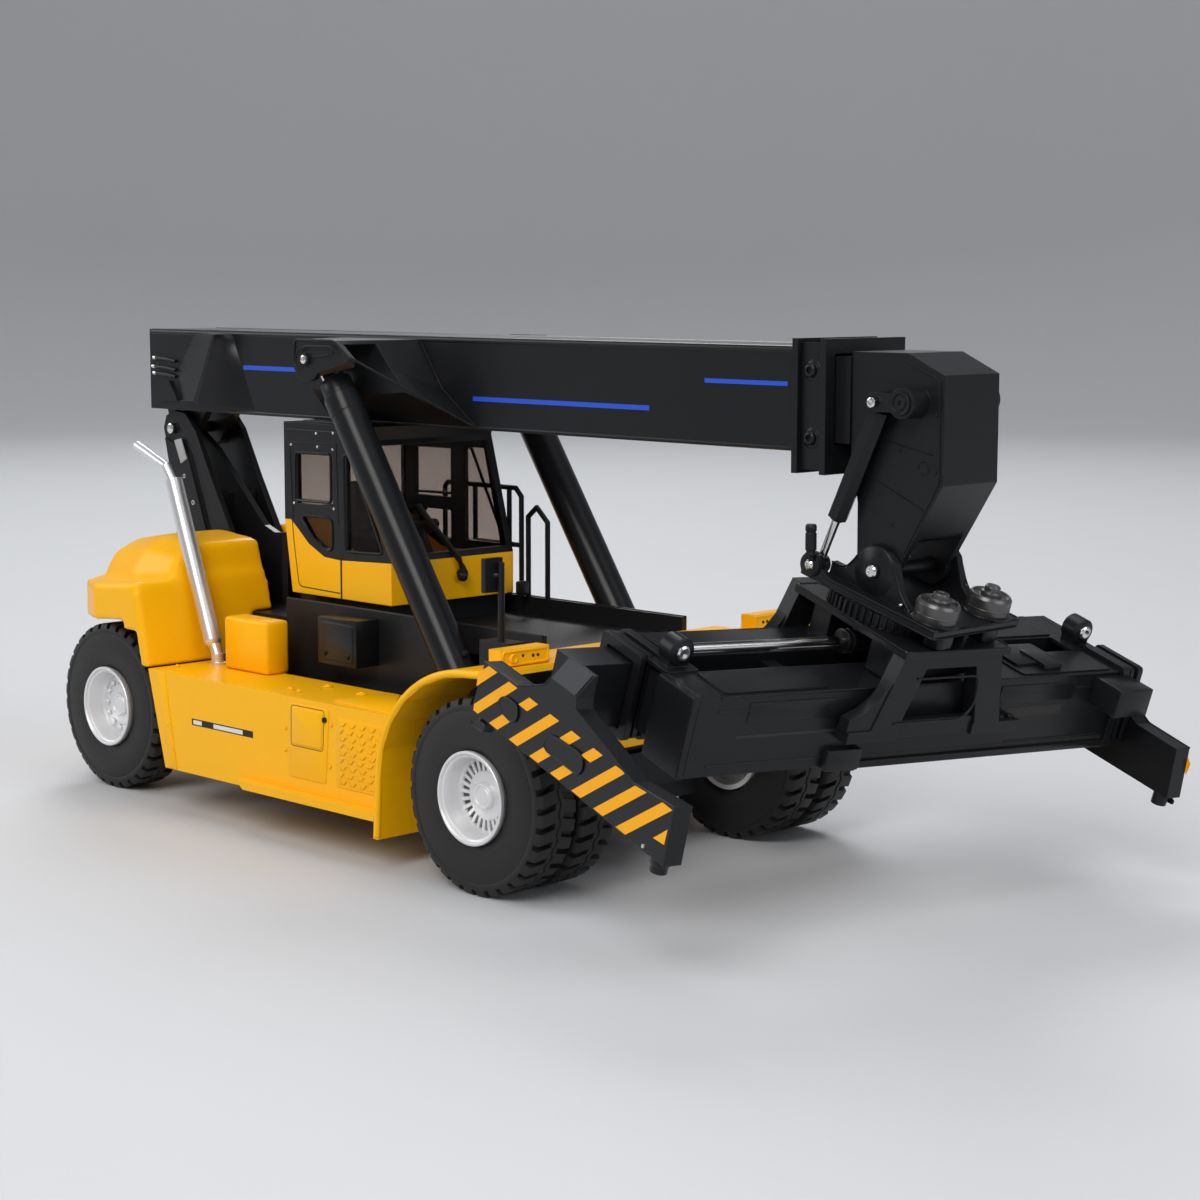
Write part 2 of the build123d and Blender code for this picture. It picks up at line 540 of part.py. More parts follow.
panes.append(pane & block(CAB_REAR_X, CAB_FRONT_X + 5, -WIND_Y + SEAT, WIND_Y - SEAT, 0, CAB_ROOF_Z))
panes.append(block(CAB_REAR_X + 0.5, CAB_REAR_X + 0.5 + GLASS, -WIND_Y + SEAT, WIND_Y - SEAT,
                   CAB_REAR_BELT_Z + 3 + SEAT, CAB_ROOF_Z - 7 - SEAT))
keep("cab_glass", Compound(children=panes))
keep("cab_base", block(CAB_REAR_X + 5, CAB_FRONT_X - 2, -CAB_Y + CAB_WALL, CAB_Y - CAB_WALL,
                       TRAY_FLOOR_Z + SEAT, CAB_BASE_Z - SEAT))
SEAT_Y = 5.0
cab_floor = CAB_BASE_Z + CAB_WALL + SEAT
seat_top = cab_floor + 10.0
seat_x = CAB_REAR_X + 9.2
seat = block(seat_x, seat_x + 11, -SEAT_Y, SEAT_Y, cab_floor, seat_top)
seat += side_plate([(seat_x, seat_top), (seat_x + 2.5, seat_top), (seat_x + 0.5, seat_top + 17),
                    (seat_x - 2, seat_top + 17)], -SEAT_Y, SEAT_Y)
keep("seat", seat)
wheel_at = (CAB_FRONT_X - 13, 0, cab_floor + 16)
console = block(CAB_FRONT_X - 11, CAB_FRONT_X - 7, -4, 4, cab_floor, cab_floor + 10)
console += bar((CAB_FRONT_X - 9, 0, cab_floor + 9.5), wheel_at, 0.8)
console += Plane(origin=wheel_at, z_dir=(-4, 0, 6.5)) * Cylinder(5.0, 0.9)
keep("console", console)

# wiper arm in front of the windscreen, on a boss under it
WIPER_R = 0.6
wiper_foot = (CAB_FRONT_X + 1.2, 2.2, CAB_BELT_Z - 4.3)
wiper_tip_z = CAB_BELT_Z + 14.2
wiper_tip = (screen_x(wiper_tip_z) + 1.2, -9.7, wiper_tip_z)
wiper = bar((CAB_FRONT_X + SEAT, wiper_foot[1], wiper_foot[2]), (CAB_FRONT_X + 1.9, wiper_foot[1], wiper_foot[2]), 1.2)
wiper += bar(wiper_foot, (CAB_FRONT_X + 1.2, 1.0, CAB_BELT_Z - 0.3), WIPER_R)
wiper += bar((CAB_FRONT_X + 1.2, 1.0, CAB_BELT_Z - 0.3), wiper_tip, WIPER_R)
wiper += Pos(CAB_FRONT_X + 1.2, 1.0, CAB_BELT_Z - 0.3) * Sphere(WIPER_R)
keep("wiper_arm", wiper)

# ---------------------------------------------------------------- mast
mast_base = FRAME_TOP_Z + SEAT
mast_outline = [(PIVOT_X - 5.2, PIVOT_Z), (PIVOT_X - 2.6, PIVOT_Z - 9.7), (PIVOT_X + 2.5, mast_base),
                (PIVOT_X + 38.5, mast_base), (PIVOT_X + 17.8, PIVOT_Z - 13.9), (PIVOT_X + 10.2, PIVOT_Z - 0.2),
                (PIVOT_X + 5.6, PIVOT_Z + 4.4), (PIVOT_X, PIVOT_Z + 5.2), (PIVOT_X - 3.9, PIVOT_Z + 3.5)]
doubler_outline = [(PIVOT_X - 3.4, PIVOT_Z - 2.8), (PIVOT_X - 1.6, PIVOT_Z - 10.0), (PIVOT_X + 8.0, mast_base),
                   (PIVOT_X + 23.8, mast_base), (PIVOT_X + 7.4, PIVOT_Z - 6.9)]
web_outline = [(PIVOT_X, PIVOT_Z), (PIVOT_X + 9.2, PIVOT_Z - 5.8), (PIVOT_X + 19.3, PIVOT_Z - 15.0),
               (PIVOT_X + 31.7, PIVOT_Z - 26.5), (PIVOT_X + 36.6, PIVOT_Z - 28.2), (PIVOT_X + 39.8, PIVOT_Z - 28.0),
               (PIVOT_X + 39.8, mast_base), (PIVOT_X + 2.5, mast_base)]
mast = side_plate(web_outline, -1.0, 1.0)
for side in (-1, 1):
    inner, face, outer = side * (MAST_Y - MAST_PLATE), side * MAST_Y, side * (MAST_Y + DOUBLER_T)
    mast += side_plate(mast_outline, min(inner, face), max(inner, face))
    mast += side_plate(doubler_outline, min(face, outer), max(face, outer))
mast += cross_bar(PIVOT_X, PIVOT_Z, -MAST_Y - DOUBLER_T, MAST_Y + DOUBLER_T, PIVOT_R)
mast += block(PIVOT_X + 15, PIVOT_X + 18, -MAST_Y + 0.5, MAST_Y - 0.5, mast_base, PIVOT_Z - 18)
keep("mast", mast)

# ---------------------------------------------------------------- boom
tube = block(BOOM_REAR_X, BOOM_FRONT_X + 8, -BOOM_Y, BOOM_Y, BOOM_BASE_Z, BOOM_TOP_Z)
for x in (BOOM_FRONT_X, BOOM_FRONT_X + FLANGE_T + FLANGE_GAP):
    tube += block(x, x + FLANGE_T, -FLANGE_Y, FLANGE_Y, BOOM_BASE_Z - 4.8, BOOM_TOP_Z + 1.8)
cavity_y = BOOM_Y - BOOM_WALL
tube -= block(BOOM_REAR_X + 2, BOOM_FRONT_X + 20, -cavity_y, cavity_y, BOOM_BASE_Z + BOOM_WALL, BOOM_TOP_Z - BOOM_WALL)
foot_top = BOOM_BASE_Z + 0.5
foot_outline = [(BOOM_REAR_X, foot_top), (PIVOT_X + 13.0, foot_top), (PIVOT_X + 4.5, PIVOT_Z - 3.7),
                (PIVOT_X + 1.5, PIVOT_Z - 5.1), (PIVOT_X - 2.0, PIVOT_Z - 4.9), (PIVOT_X - 5.0, PIVOT_Z - 2.7)]
for y0 in (-FOOT_Y, FOOT_Y - 2.4):
    tube += side_plate(foot_outline, y0, y0 + 2.4)
tube -= cross_bar(PIVOT_X, PIVOT_Z, -FOOT_Y - 1, FOOT_Y + 1, PIVOT_R + 0.05)
# brackets for the lift cylinders: outlines on the boom's side and at the bracket's outer side
bracket_top = BOOM_TOP_Z - 0.8
bracket_low = BOOM_BASE_Z + 0.3
inner_face = [(LIFT_TOP_X - 21.6, bracket_low), (LIFT_TOP_X - 14.6, bracket_top), (LIFT_TOP_X + 15.0, bracket_top),
              (LIFT_TOP_X + 23.9, BOOM_BASE_Z + 9.7), (LIFT_TOP_X + 37.0, bracket_low), (LIFT_TOP_X + 7.0, bracket_low)]
outer_face = [(LIFT_TOP_X - 5.2, LIFT_TOP_Z - 0.7), (LIFT_TOP_X - 4.5, bracket_top), (LIFT_TOP_X + 11.4, bracket_top),
              (LIFT_TOP_X + 17.3, LIFT_TOP_Z + 0.9), (LIFT_TOP_X + 15.8, LIFT_TOP_Z - 0.6),
              (LIFT_TOP_X + 3.8, LIFT_TOP_Z - 3.3)]
# gussets at the boom's rear end: foot on the boom's side and raised ridge
gusset_foot = [(PIVOT_X + 14.6, bracket_top), (PIVOT_X + 4.7, BOOM_BASE_Z + 10.0), (PIVOT_X + 7.4, BOOM_BASE_Z + 2.5),
               (PIVOT_X + 44.0, BOOM_BASE_Z + 1.4), (PIVOT_X + 33.2, bracket_top)]
gusset_ridge = [(PIVOT_X + 30.6, bracket_top), (PIVOT_X + 24.8, BOOM_BASE_Z + 10.0), (PIVOT_X + 21.0, BOOM_BASE_Z + 3.2),
                (PIVOT_X + 22.8, BOOM_BASE_Z + 2.4), (PIVOT_X + 31.8, bracket_top)]
GUSSET_OUT = 5.0


def raised(foot, foot_y, top, top_y):
    """A solid between two outlines in XZ, at foot_y and at top_y."""
    faces = [make_face(Polyline(*[(x, y, z) for x, z in outline], close=True))
             for outline, y in ((foot, foot_y), (top, top_y))]
    return loft(faces, ruled=True)


bracket = raised(inner_face, -BOOM_Y + 0.3, outer_face, -BRACKET_Y)
bracket += cross_bar(LIFT_TOP_X, LIFT_TOP_Z, -BRACKET_Y, -BRACKET_Y + BRACKET_PLATE, BRACKET_BOSS_R) \
    & block(LIFT_TOP_X - 10, LIFT_TOP_X + 10, -BRACKET_Y, 0, 0, bracket_top)
bracket -= block(LIFT_TOP_X - 37, LIFT_TOP_X + 43, -BRACKET_Y + BRACKET_PLATE, -LIFT_Y + LIFT_R + 0.5,
                 BOOM_BASE_Z - 23, bracket_top - 1.0)
bracket += cross_bar(LIFT_TOP_X, LIFT_TOP_Z, -BRACKET_Y - 0.8, -BRACKET_Y + 0.5, 1.6)
bracket += raised(gusset_foot, -BOOM_Y + 0.3, gusset_ridge, -BOOM_Y - GUSSET_OUT)
tube += bracket
tube += mirrored(bracket)
keep("boom_outer", tube)

inner_y = cavity_y - INNER_GAP
inner_z0 = BOOM_BASE_Z + BOOM_WALL + INNER_GAP
inner_z1 = BOOM_TOP_Z - BOOM_WALL - INNER_GAP
INNER_REAR_X = PIVOT_X + 6
inner = block(INNER_REAR_X, 72.5, -inner_y, inner_y, inner_z0, inner_z1)
inner -= block(INNER_REAR_X - 1, 70.0, -inner_y + 1.4, inner_y - 1.4, inner_z0 + 1.4, inner_z1 - 1.4)
keep("boom_inner", inner)
head_outline = [(72.6, 125.3), (87.7, 125.3), (HEAD_FRONT_X, 120.8), (HEAD_FRONT_X, 97.6), (87.3, 81.3),
                (TILT_X + HEAD_LUG_R, TILT_Z), (TILT_X - HEAD_LUG_R, TILT_Z), (74.7, 81.0), (74.6, 93.0),
                (72.6, 103.0)]
head_room = [(74.2, 123.7), (87.3, 123.7), (HEAD_FRONT_X - 1.6, 119.8), (HEAD_FRONT_X - 1.6, 98.1), (88.5, 82.6),
             (90.0, 70.0), (70.0, 70.0), (70.0, 80.0), (76.2, 93.2), (74.2, 103.0)]
head = side_plate(head_outline, -HEAD_Y, HEAD_Y) + cross_bar(TILT_X, TILT_Z, -HEAD_Y, HEAD_Y, HEAD_LUG_R)
head -= side_plate(head_room, -HEAD_Y + 1.8, HEAD_Y - 1.8)
head -= cross_bar(TILT_X, TILT_Z, -HEAD_Y - 1, HEAD_Y + 1, PIVOT_R + 0.05)
# dampers' upper pins, each in a link plate that a boss on the head carries
boss = (DAMPER_TOP_X + DAMPER_BOSS_AHEAD, DAMPER_TOP_Z)
LINK_Y = DAMPER_Y + DAMPER_EYE_HALF + 0.65 + CLEAR
LINK_T = 0.9
for side in (-1, 1):
    link_in, link_out = side * LINK_Y, side * (LINK_Y + LINK_T)
    head += cross_bar(boss[0], boss[1], side * (HEAD_Y - 0.5), link_out, DAMPER_BOSS_R)
    head += slab((DAMPER_TOP_X, DAMPER_TOP_Z), boss, 2.0, min(link_in, link_out), max(link_in, link_out))
    head += cross_bar(DAMPER_TOP_X, DAMPER_TOP_Z, link_in, link_out, DAMPER_EYE_R)
    head += cross_bar(DAMPER_TOP_X, DAMPER_TOP_Z, side * (HEAD_Y - 0.2), link_out + side * 0.8, DAMPER_PIN_R)
keep("boom_head", head)

# ---------------------------------------------------------------- lift cylinders
lift_run = math.hypot(LIFT_TOP_X - LIFT_BASE_X, LIFT_TOP_Z - LIFT_BASE_Z)
lift_dx = (LIFT_TOP_X - LIFT_BASE_X) / lift_run
lift_dz = (LIFT_TOP_Z - LIFT_BASE_Z) / lift_run


def along_lift(distance, y=-LIFT_Y):
    """The point on a lift cylinder's axis, distance up from its lower pin."""
    return (LIFT_BASE_X + lift_dx * distance, y, LIFT_BASE_Z + lift_dz * distance)


gland = lift_run - LIFT_HEAD
barrel = bar(along_lift(7.5), along_lift(gland), LIFT_R)
barrel += slab(along_lift(0)[::2], along_lift(9)[::2], LIFT_EYE_R, -LIFT_Y - LIFT_EYE_W / 2, -LIFT_Y + LIFT_EYE_W / 2)
barrel += cross_bar(LIFT_BASE_X, LIFT_BASE_Z, -LIFT_Y - LIFT_EYE_W / 2, -LIFT_Y + LIFT_EYE_W / 2, LIFT_EYE_R)
barrel -= cross_bar(LIFT_BASE_X, LIFT_BASE_Z, -LIFT_Y - 5, -LIFT_Y + 5, LIFT_PIN_R + 0.05)
barrel -= bar(along_lift(9.5), along_lift(gland + 1), LIFT_ROD_R + 0.05)
keep("lift_barrel_right", barrel)
keep("lift_barrel_left", mirrored(barrel))
lift_rod = bar(along_lift(10), along_lift(lift_run - 1), LIFT_ROD_R)
lift_rod += cross_bar(LIFT_TOP_X, LIFT_TOP_Z, -LIFT_Y - LIFT_EYE_W / 2, -LIFT_Y + LIFT_EYE_W / 2, LIFT_EYE_R)
keep("lift_rod_right", lift_rod)
keep("lift_rod_left", mirrored(lift_rod))

# ---------------------------------------------------------------- rotator, built level round the tilt pin
tilt_place = Pos(TILT_X, 0, TILT_Z) * Rot(0, TILT_REST, 0)
slew_place = tilt_place * Rot(0, 0, -SLEW_REST)
plate_in = HEAD_Y + CLEAR
cheek_rear = DAMPER_LOW_X + DAMPER_EYE_R + 2 * CLEAR      # the cheeks and deck end before the dampers' eyes
cheek_outline = [(cheek_rear, ROTATOR_TOP - 0.1), (12.0, ROTATOR_TOP - 0.1), (8.0, -2.0), (5.0, 3.5), (2.5, 5.2),
                 (-2.5, 5.2), (-5.0, 3.0), (-7.5, -2.2), (cheek_rear, -2.2)]
ear_outline = [(DAMPER_LOW_X - 2.6, DAMPER_LOW_Z), (DAMPER_LOW_X - 2.2, ROTATOR_TOP - ROTATOR_T),
               (-8.0, ROTATOR_TOP - ROTATOR_T), (-8.0, ROTATOR_TOP), (DAMPER_LOW_X + 3.0, DAMPER_LOW_Z)]
ear_in = DAMPER_Y + DAMPER_EYE_HALF + CLEAR
rotator = block(cheek_rear, ROTATOR_FRONT, -ROTATOR_Y, ROTATOR_Y, ROTATOR_TOP - ROTATOR_T, ROTATOR_TOP)
for y0 in (-plate_in - ROTATOR_PLATE, plate_in):
    rotator += side_plate(cheek_outline, y0, y0 + ROTATOR_PLATE)
rotator += cross_bar(0, 0, -plate_in - ROTATOR_PLATE - 0.8, plate_in + ROTATOR_PLATE + 0.8, PIVOT_R)
for side in (-1, 1):
    ear = (min(side * ear_in, side * ROTATOR_Y), max(side * ear_in, side * ROTATOR_Y))
    rotator += side_plate(ear_outline, *ear)
    rotator += cross_bar(DAMPER_LOW_X, DAMPER_LOW_Z, *ear, DAMPER_EAR_R)
    rotator += cross_bar(DAMPER_LOW_X, DAMPER_LOW_Z, side * (DAMPER_Y - DAMPER_EYE_HALF - 0.6),
                         side * (ROTATOR_Y + 0.6), DAMPER_PIN_R)
keep("rotator_frame", tilt_place * rotator)
motors = []
for y in (-MOTOR_Y, MOTOR_Y):
    base = Pos(MOTOR_X, y, ROTATOR_TOP + SEAT)
    motor = Pos(0, 0, MOTOR_H / 2) * Cylinder(MOTOR_R, MOTOR_H)
    motor += Pos(0, 0, MOTOR_H + 0.3) * Cylinder(MOTOR_R * 0.4, 0.6)
    motor += Pos(0, 0, MOTOR_H + 0.9) * Cylinder(MOTOR_R * 0.3, 1.2)
    motors.append(base * motor)
keep("slew_motors", tilt_place * Compound(children=motors))

gear_top = ROTATOR_TOP - ROTATOR_T - CLEAR
carriage = Pos(0, 0, gear_top - GEAR_T / 2) * Cylinder(GEAR_R, GEAR_T)
plate_top = gear_top - GEAR_T + 0.1
carriage += block(-17.0, 21.5, -15.2, 15.2, plate_top - CARRIAGE_T, plate_top)
BEAM_X = BEAM_SPACING / 2
beam_out = BEAM_X + BEAM_W / 2
for x0, x1 in ((beam_out + CLEAR, 20.5), (-20.5, -beam_out - CLEAR)):
    for side in (-1, 1):
        leg = [(side * 6.0, plate_top - 0.1), (side * 13.5, plate_top - 0.1), (side * 19.0, -29.5), (side * 11.5, -29.5)]
        face = make_face(Polyline(*[(x0, y, z) for y, z in leg], close=True))
        carriage += extrude(face, amount=x1 - x0, dir=(1, 0, 0))
        carriage += block(x0, x1, min(side * 11, side * 25), max(side * 11, side * 25), -31.5, -28.8)
    carriage += block(min(x0, x1), max(x0, x1), -8, 8, plate_top - 4.5, plate_top - 0.1)
carriage += block(-20.5, -16.9, -13.5, 13.5, plate_top - CARRIAGE_T, plate_top)
for x in (-BEAM_X, BEAM_X):
    carriage += block(x - 3, x + 3, -12, 12, BEAM_TOP + CLEAR, plate_top - CARRIAGE_T + 0.1)
keep("slew_carriage", slew_place * carriage)
shift_z = BEAM_TOP + 3.6
shift_barrel = bar((0, -14, shift_z), (0, 14, shift_z), SHIFT_R)
shift_barrel -= bar((0, -15, shift_z), (0, 12, shift_z), SHIFT_ROD_R + 0.05)
shift_barrel += block(-1.5, 1.5, -10, 10, shift_z + SHIFT_R - 0.5, plate_top - CARRIAGE_T - SEAT)
keep("shift_barrel", slew_place * shift_barrel)

# ---------------------------------------------------------------- spreader
beam_z0 = BEAM_TOP - BEAM_H
spreader = block(-1, 1, -1, 1, BEAM_TOP - 9, BEAM_TOP - 8)
for x in (-BEAM_X, BEAM_X):
    spreader += block(x - BEAM_W / 2, x + BEAM_W / 2, -half, half, beam_z0, BEAM_TOP)
for y in (-half + 5, -30, 0, 30, half - 5):
    spreader += block(-BEAM_X, BEAM_X, y - 2, y + 2, beam_z0 + 2, BEAM_TOP - 2)
for x in (-BEAM_X, BEAM_X):
    spreader -= block(x - BEAM_W / 2 + BEAM_WALL, x + BEAM_W / 2 - BEAM_WALL, -half - 1, half + 1,
                      beam_z0 + BEAM_WALL, BEAM_TOP - BEAM_WALL)
clevis_y = -half + 6.0
spreader += block(-4.5, 4.5, clevis_y - 2.5, clevis_y + 2.5, BEAM_TOP - 3, BEAM_TOP - 0.5)
spreader += block(-1.6, 1.6, clevis_y - 2.2, clevis_y + 2.2, BEAM_TOP - 0.6, shift_z + 2.2)
keep("spreader_frame", slew_place * spreader)
keep("shift_rod", slew_place * bar((0, clevis_y + 2.2 + SEAT, shift_z), (0, 0, shift_z), SHIFT_ROD_R))


# outline of an arm's plate as (x, z), seen from its outer side with the machine's front on the right
ARM_OUTLINE = [(-34.0, -ARM_DROP), (-32.6, -33.1), (-19.4, -32.8), (-10.3, -28.5), (-9.0, -26.3), (1.0, -26.3),
               (1.6, -28.7), (24.5, -34.0), (38.1, -32.6), (38.8, -ARM_DROP)]
POST_TOP = BEAM_TOP - 1.2       # top of the post that stands on the plate
POST_FLAT = 1.0                 # level part of its top, behind the slanted one


def arm(turn, out):
    """The right arm (turn 1) or the left arm before it is mirrored (turn -1), on its telescopic beam."""
    outline = [(turn * x, z) for x, z in ARM_OUTLINE]
    plate = side_plate(outline, -out, -out + ARM_T)
    x0, x1 = sorted((turn * -9.0, turn * 1.0))
    post_face = [(-out, -30.0), (-out, -26.3), (-out + ARM_T - POST_FLAT, POST_TOP), (-out + ARM_T, POST_TOP),
                 (-out + ARM_T, -30.0)]
    face = make_face(Polyline(*[(x0, y, z) for y, z in post_face], close=True))
    post = extrude(face, amount=x1 - x0, dir=(1, 0, 0))
    beam_x = -turn * BEAM_X
    w = BEAM_W / 2 - BEAM_WALL - TELE_GAP
    z0, z1 = beam_z0 + BEAM_WALL + TELE_GAP, BEAM_TOP - BEAM_WALL - TELE_GAP
    tele = block(beam_x - w, beam_x + w, -out + ARM_T - 0.1, -out + TELE_LENGTH, z0, z1)
    tele -= block(beam_x - w + 1.2, beam_x + w - 1.2, -out + ARM_T + 2, -out + TELE_LENGTH + 1, z0 + 1.2, z1 - 1.2)
    return plate + post + tele


def locks(turn, out):
    """Two twistlock feet under an arm's ends."""
    y = -out + ARM_T / 2
    feet = [Pos(turn * LOCK_MIDDLE + x, y, -ARM_DROP - SEAT - LOCK_H / 2) * Cylinder(LOCK_R, LOCK_H)
            for x in (-LOCK_X, LOCK_X)]
    return Compound(children=feet)


keep("spreader_arm_right", slew_place * arm(1, ARM_RIGHT_OUT))
keep("spreader_arm_left", slew_place * mirrored(arm(-1, ARM_LEFT_OUT)))
keep("twistlocks_right", slew_place * locks(1, ARM_RIGHT_OUT))
keep("twistlocks_left", slew_place * mirrored(locks(-1, ARM_LEFT_OUT)))

# ---------------------------------------------------------------- dampers
low = tilt_place * Pos(DAMPER_LOW_X, -DAMPER_Y, DAMPER_LOW_Z)
low_point = low.position
damper_run = math.hypot(low_point.X - DAMPER_TOP_X, low_point.Z - DAMPER_TOP_Z)
damper_dx = (low_point.X - DAMPER_TOP_X) / damper_run
damper_dz = (low_point.Z - DAMPER_TOP_Z) / damper_run


def along_damper(distance):
    """The point on the right damper's axis, distance down from its upper pin."""
    return (DAMPER_TOP_X + damper_dx * distance, -DAMPER_Y, DAMPER_TOP_Z + damper_dz * distance)


def eye_at(x, z, half_width, bore_r):
    """A round eye across the right damper's axis."""
    eye = cross_bar(x, z, -DAMPER_Y - half_width, -DAMPER_Y + half_width, DAMPER_EYE_R)
    return eye - cross_bar(x, z, -DAMPER_Y - 4, -DAMPER_Y + 4, bore_r)


axis_plane = Plane(origin=along_damper(2.0), x_dir=(0, 1, 0), z_dir=(damper_dx, 0, damper_dz))
hexagon = axis_plane * make_face(RegularPolygon(DAMPER_R, 6, rotation=30).edges())
damper_barrel = extrude(hexagon, amount=DAMPER_BARREL - 2.0)
damper_barrel += cross_bar(DAMPER_TOP_X, DAMPER_TOP_Z, -DAMPER_Y - DAMPER_EYE_HALF - 0.65,
                           -DAMPER_Y + DAMPER_EYE_HALF + 0.65, DAMPER_EYE_R)
damper_barrel -= cross_bar(DAMPER_TOP_X, DAMPER_TOP_Z, -DAMPER_Y - 4, -DAMPER_Y + 4, DAMPER_PIN_R + 0.05)
damper_barrel -= bar(along_damper(8), along_damper(DAMPER_BARREL + 1), DAMPER_ROD_R + 0.05)
keep("damper_barrel_right", damper_barrel)
keep("damper_barrel_left", mirrored(damper_barrel))
damper_rod = bar(along_damper(14), along_damper(damper_run - 1.5), DAMPER_ROD_R)
damper_rod += eye_at(low_point.X, low_point.Z, DAMPER_EYE_HALF, DAMPER_EYE_BORE_R)
keep("damper_rod_right", damper_rod)
keep("damper_rod_left", mirrored(damper_rod))

# ---------------------------------------------------------------- boxes, exhaust, rails, mirror
keep("battery_box", block(BOX_REAR_X + 12.5, BOX_REAR_X + 31, -39, -31.5, DECK_Z + SEAT, DECK_Z + 14))
keep("valve_box", block(CAB_FRONT_X - 16, CAB_FRONT_X - 0.5, -32.6, -TRAY_Y - SEAT, 42.5, 54.5))

EXHAUST_Y = -36.0
MUFFLER_R = 2.4
PIPE_R = 1.3


def exhaust_at(ahead, z):
    """A point of the exhaust's middle line, measured from the foot of the hood's front."""
    return (HOOD_FRONT_X + ahead, EXHAUST_Y, z)


# bars of the exhaust: start, end, radius
exhaust_bars = [
    (exhaust_at(7.0, DECK_Z + SEAT), exhaust_at(7.0, DECK_Z + 3), 1.9),
    (exhaust_at(7.0, DECK_Z + 2), exhaust_at(4.0, DECK_Z + 8), 1.6),
    (exhaust_at(4.6, DECK_Z + 6), exhaust_at(-12.0, DECK_Z + 48.5), MUFFLER_R),
    (exhaust_at(-12.0, DECK_Z + 47.5), exhaust_at(-15.5, DECK_Z + 52), PIPE_R),
    (exhaust_at(-15.5, DECK_Z + 52), exhaust_at(-29.0, DECK_Z + 57), PIPE_R),
]
exhaust = joined([bar(*row) for row in exhaust_bars] + [Pos(*exhaust_at(-15.5, DECK_Z + 52)) * Sphere(PIPE_R)])
keep("exhaust", exhaust)

# handrails on the tray's left wall: rails and posts as (x from the cab's front, z over the wall) to the same
RAIL_R = 0.7
RAIL_Y = TRAY_Y - SHEET / 2
rail_bars = [
    ((-31.0, 0), (-31.0, 27.5)), ((-18.5, 0), (-18.5, 28.0)), ((-4.8, 0), (-4.8, 28.0)), ((0.0, 0), (0.0, 26.5)),
    ((-31.0, 27.5), (-29.8, 28.7)), ((-29.8, 28.7), (-2.2, 28.7)), ((-2.2, 28.7), (0.0, 26.5)),
    ((-18.5, 13.4), (0.0, 13.4)),
    ((2.7, 0), (2.7, 21.3)), ((2.7, 21.3), (6.0, 24.0)), ((6.0, 24.0), (10.2, 20.2)), ((10.2, 20.2), (10.2, 0)),
]
rails = []
for row in rail_bars:
    ends = [(CAB_FRONT_X + x, RAIL_Y, TRAY_TOP_Z + SEAT + z) for x, z in row]
    rails.append(bar(*ends, RAIL_R))
    rails += [Pos(*point) * Sphere(RAIL_R) for point in ends if point[2] > TRAY_TOP_Z + 1]
keep("handrails", joined(rails))

# mirror: a box that sits on the right fender, a post and the mirror itself
MIRROR_X = -6.5
MIRROR_Y = -40.0
mirror_base = block(MIRROR_X - 5.5, MIRROR_X + 4.5, MIRROR_Y - 2, MIRROR_Y + 3.5, NOSE_Z - 6, NOSE_Z + 4)
fender_hull = [(NOSE_X, NOSE_Z + SEAT)] + fender_outline(FENDER_IN_R + SHEET + SEAT) + [(NOSE_X, TYRE_R)]
mirror_base -= side_plate(fender_hull, MIRROR_Y - 10, MIRROR_Y + 10)
mirror = mirror_base + bar((MIRROR_X, MIRROR_Y, NOSE_Z + 3), (MIRROR_X, MIRROR_Y, NOSE_Z + 22.5), 0.8)
mirror += bar((MIRROR_X, MIRROR_Y, NOSE_Z + 19.5), (MIRROR_X - 1.5, MIRROR_Y - 1, NOSE_Z + 19.5), 0.6)
mirror += block(MIRROR_X - 2.5, MIRROR_X - 1.1, MIRROR_Y - 4, MIRROR_Y + 1.5, NOSE_Z + 15.5, NOSE_Z + 23.5)
keep("mirror_post", mirror)

# ---------------------------------------------------------------- write
os.makedirs("parts", exist_ok=True)
outer = Compound([solid for shape in nodes.values() for solid in shape.solids()]).bounding_box()
shift = Pos(-(outer.min.X + outer.max.X) / 2, -(outer.min.Y + outer.max.Y) / 2, -outer.min.Z)
for name, shape in nodes.items():
    export_step(shift * shape, f"parts/{name}.step")
print("moved by", round(shift.position.X, 3), round(shift.position.Y, 3), round(shift.position.Z, 3))
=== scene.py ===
import json
import math

import bmesh
import bpy
from mathutils import Matrix, Vector


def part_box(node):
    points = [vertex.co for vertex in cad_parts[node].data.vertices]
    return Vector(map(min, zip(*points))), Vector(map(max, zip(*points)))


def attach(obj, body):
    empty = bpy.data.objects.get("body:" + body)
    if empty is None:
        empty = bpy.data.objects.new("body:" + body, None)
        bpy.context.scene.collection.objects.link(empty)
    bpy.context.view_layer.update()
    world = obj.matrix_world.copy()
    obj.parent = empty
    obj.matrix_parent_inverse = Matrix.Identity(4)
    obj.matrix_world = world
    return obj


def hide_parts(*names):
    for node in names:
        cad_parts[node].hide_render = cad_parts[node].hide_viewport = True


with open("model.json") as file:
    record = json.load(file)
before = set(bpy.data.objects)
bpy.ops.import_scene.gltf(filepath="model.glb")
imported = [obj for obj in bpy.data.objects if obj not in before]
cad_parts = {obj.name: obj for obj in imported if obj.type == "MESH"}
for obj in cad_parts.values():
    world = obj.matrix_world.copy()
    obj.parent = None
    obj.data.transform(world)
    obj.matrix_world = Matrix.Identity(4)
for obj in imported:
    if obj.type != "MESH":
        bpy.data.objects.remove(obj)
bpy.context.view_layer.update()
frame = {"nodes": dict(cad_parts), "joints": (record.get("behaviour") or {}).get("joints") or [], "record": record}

MM = 0.001
JOINTS = {j["name"]: j for j in frame["joints"]}
ROUND = 2 * math.pi

# ---------------------------------------------------------------- places taken from the record
wheel_right = Vector(JOINTS["front_wheels_right_spin"]["pos_m"])
wheel_left = Vector(JOINTS["front_wheels_left_spin"]["pos_m"])
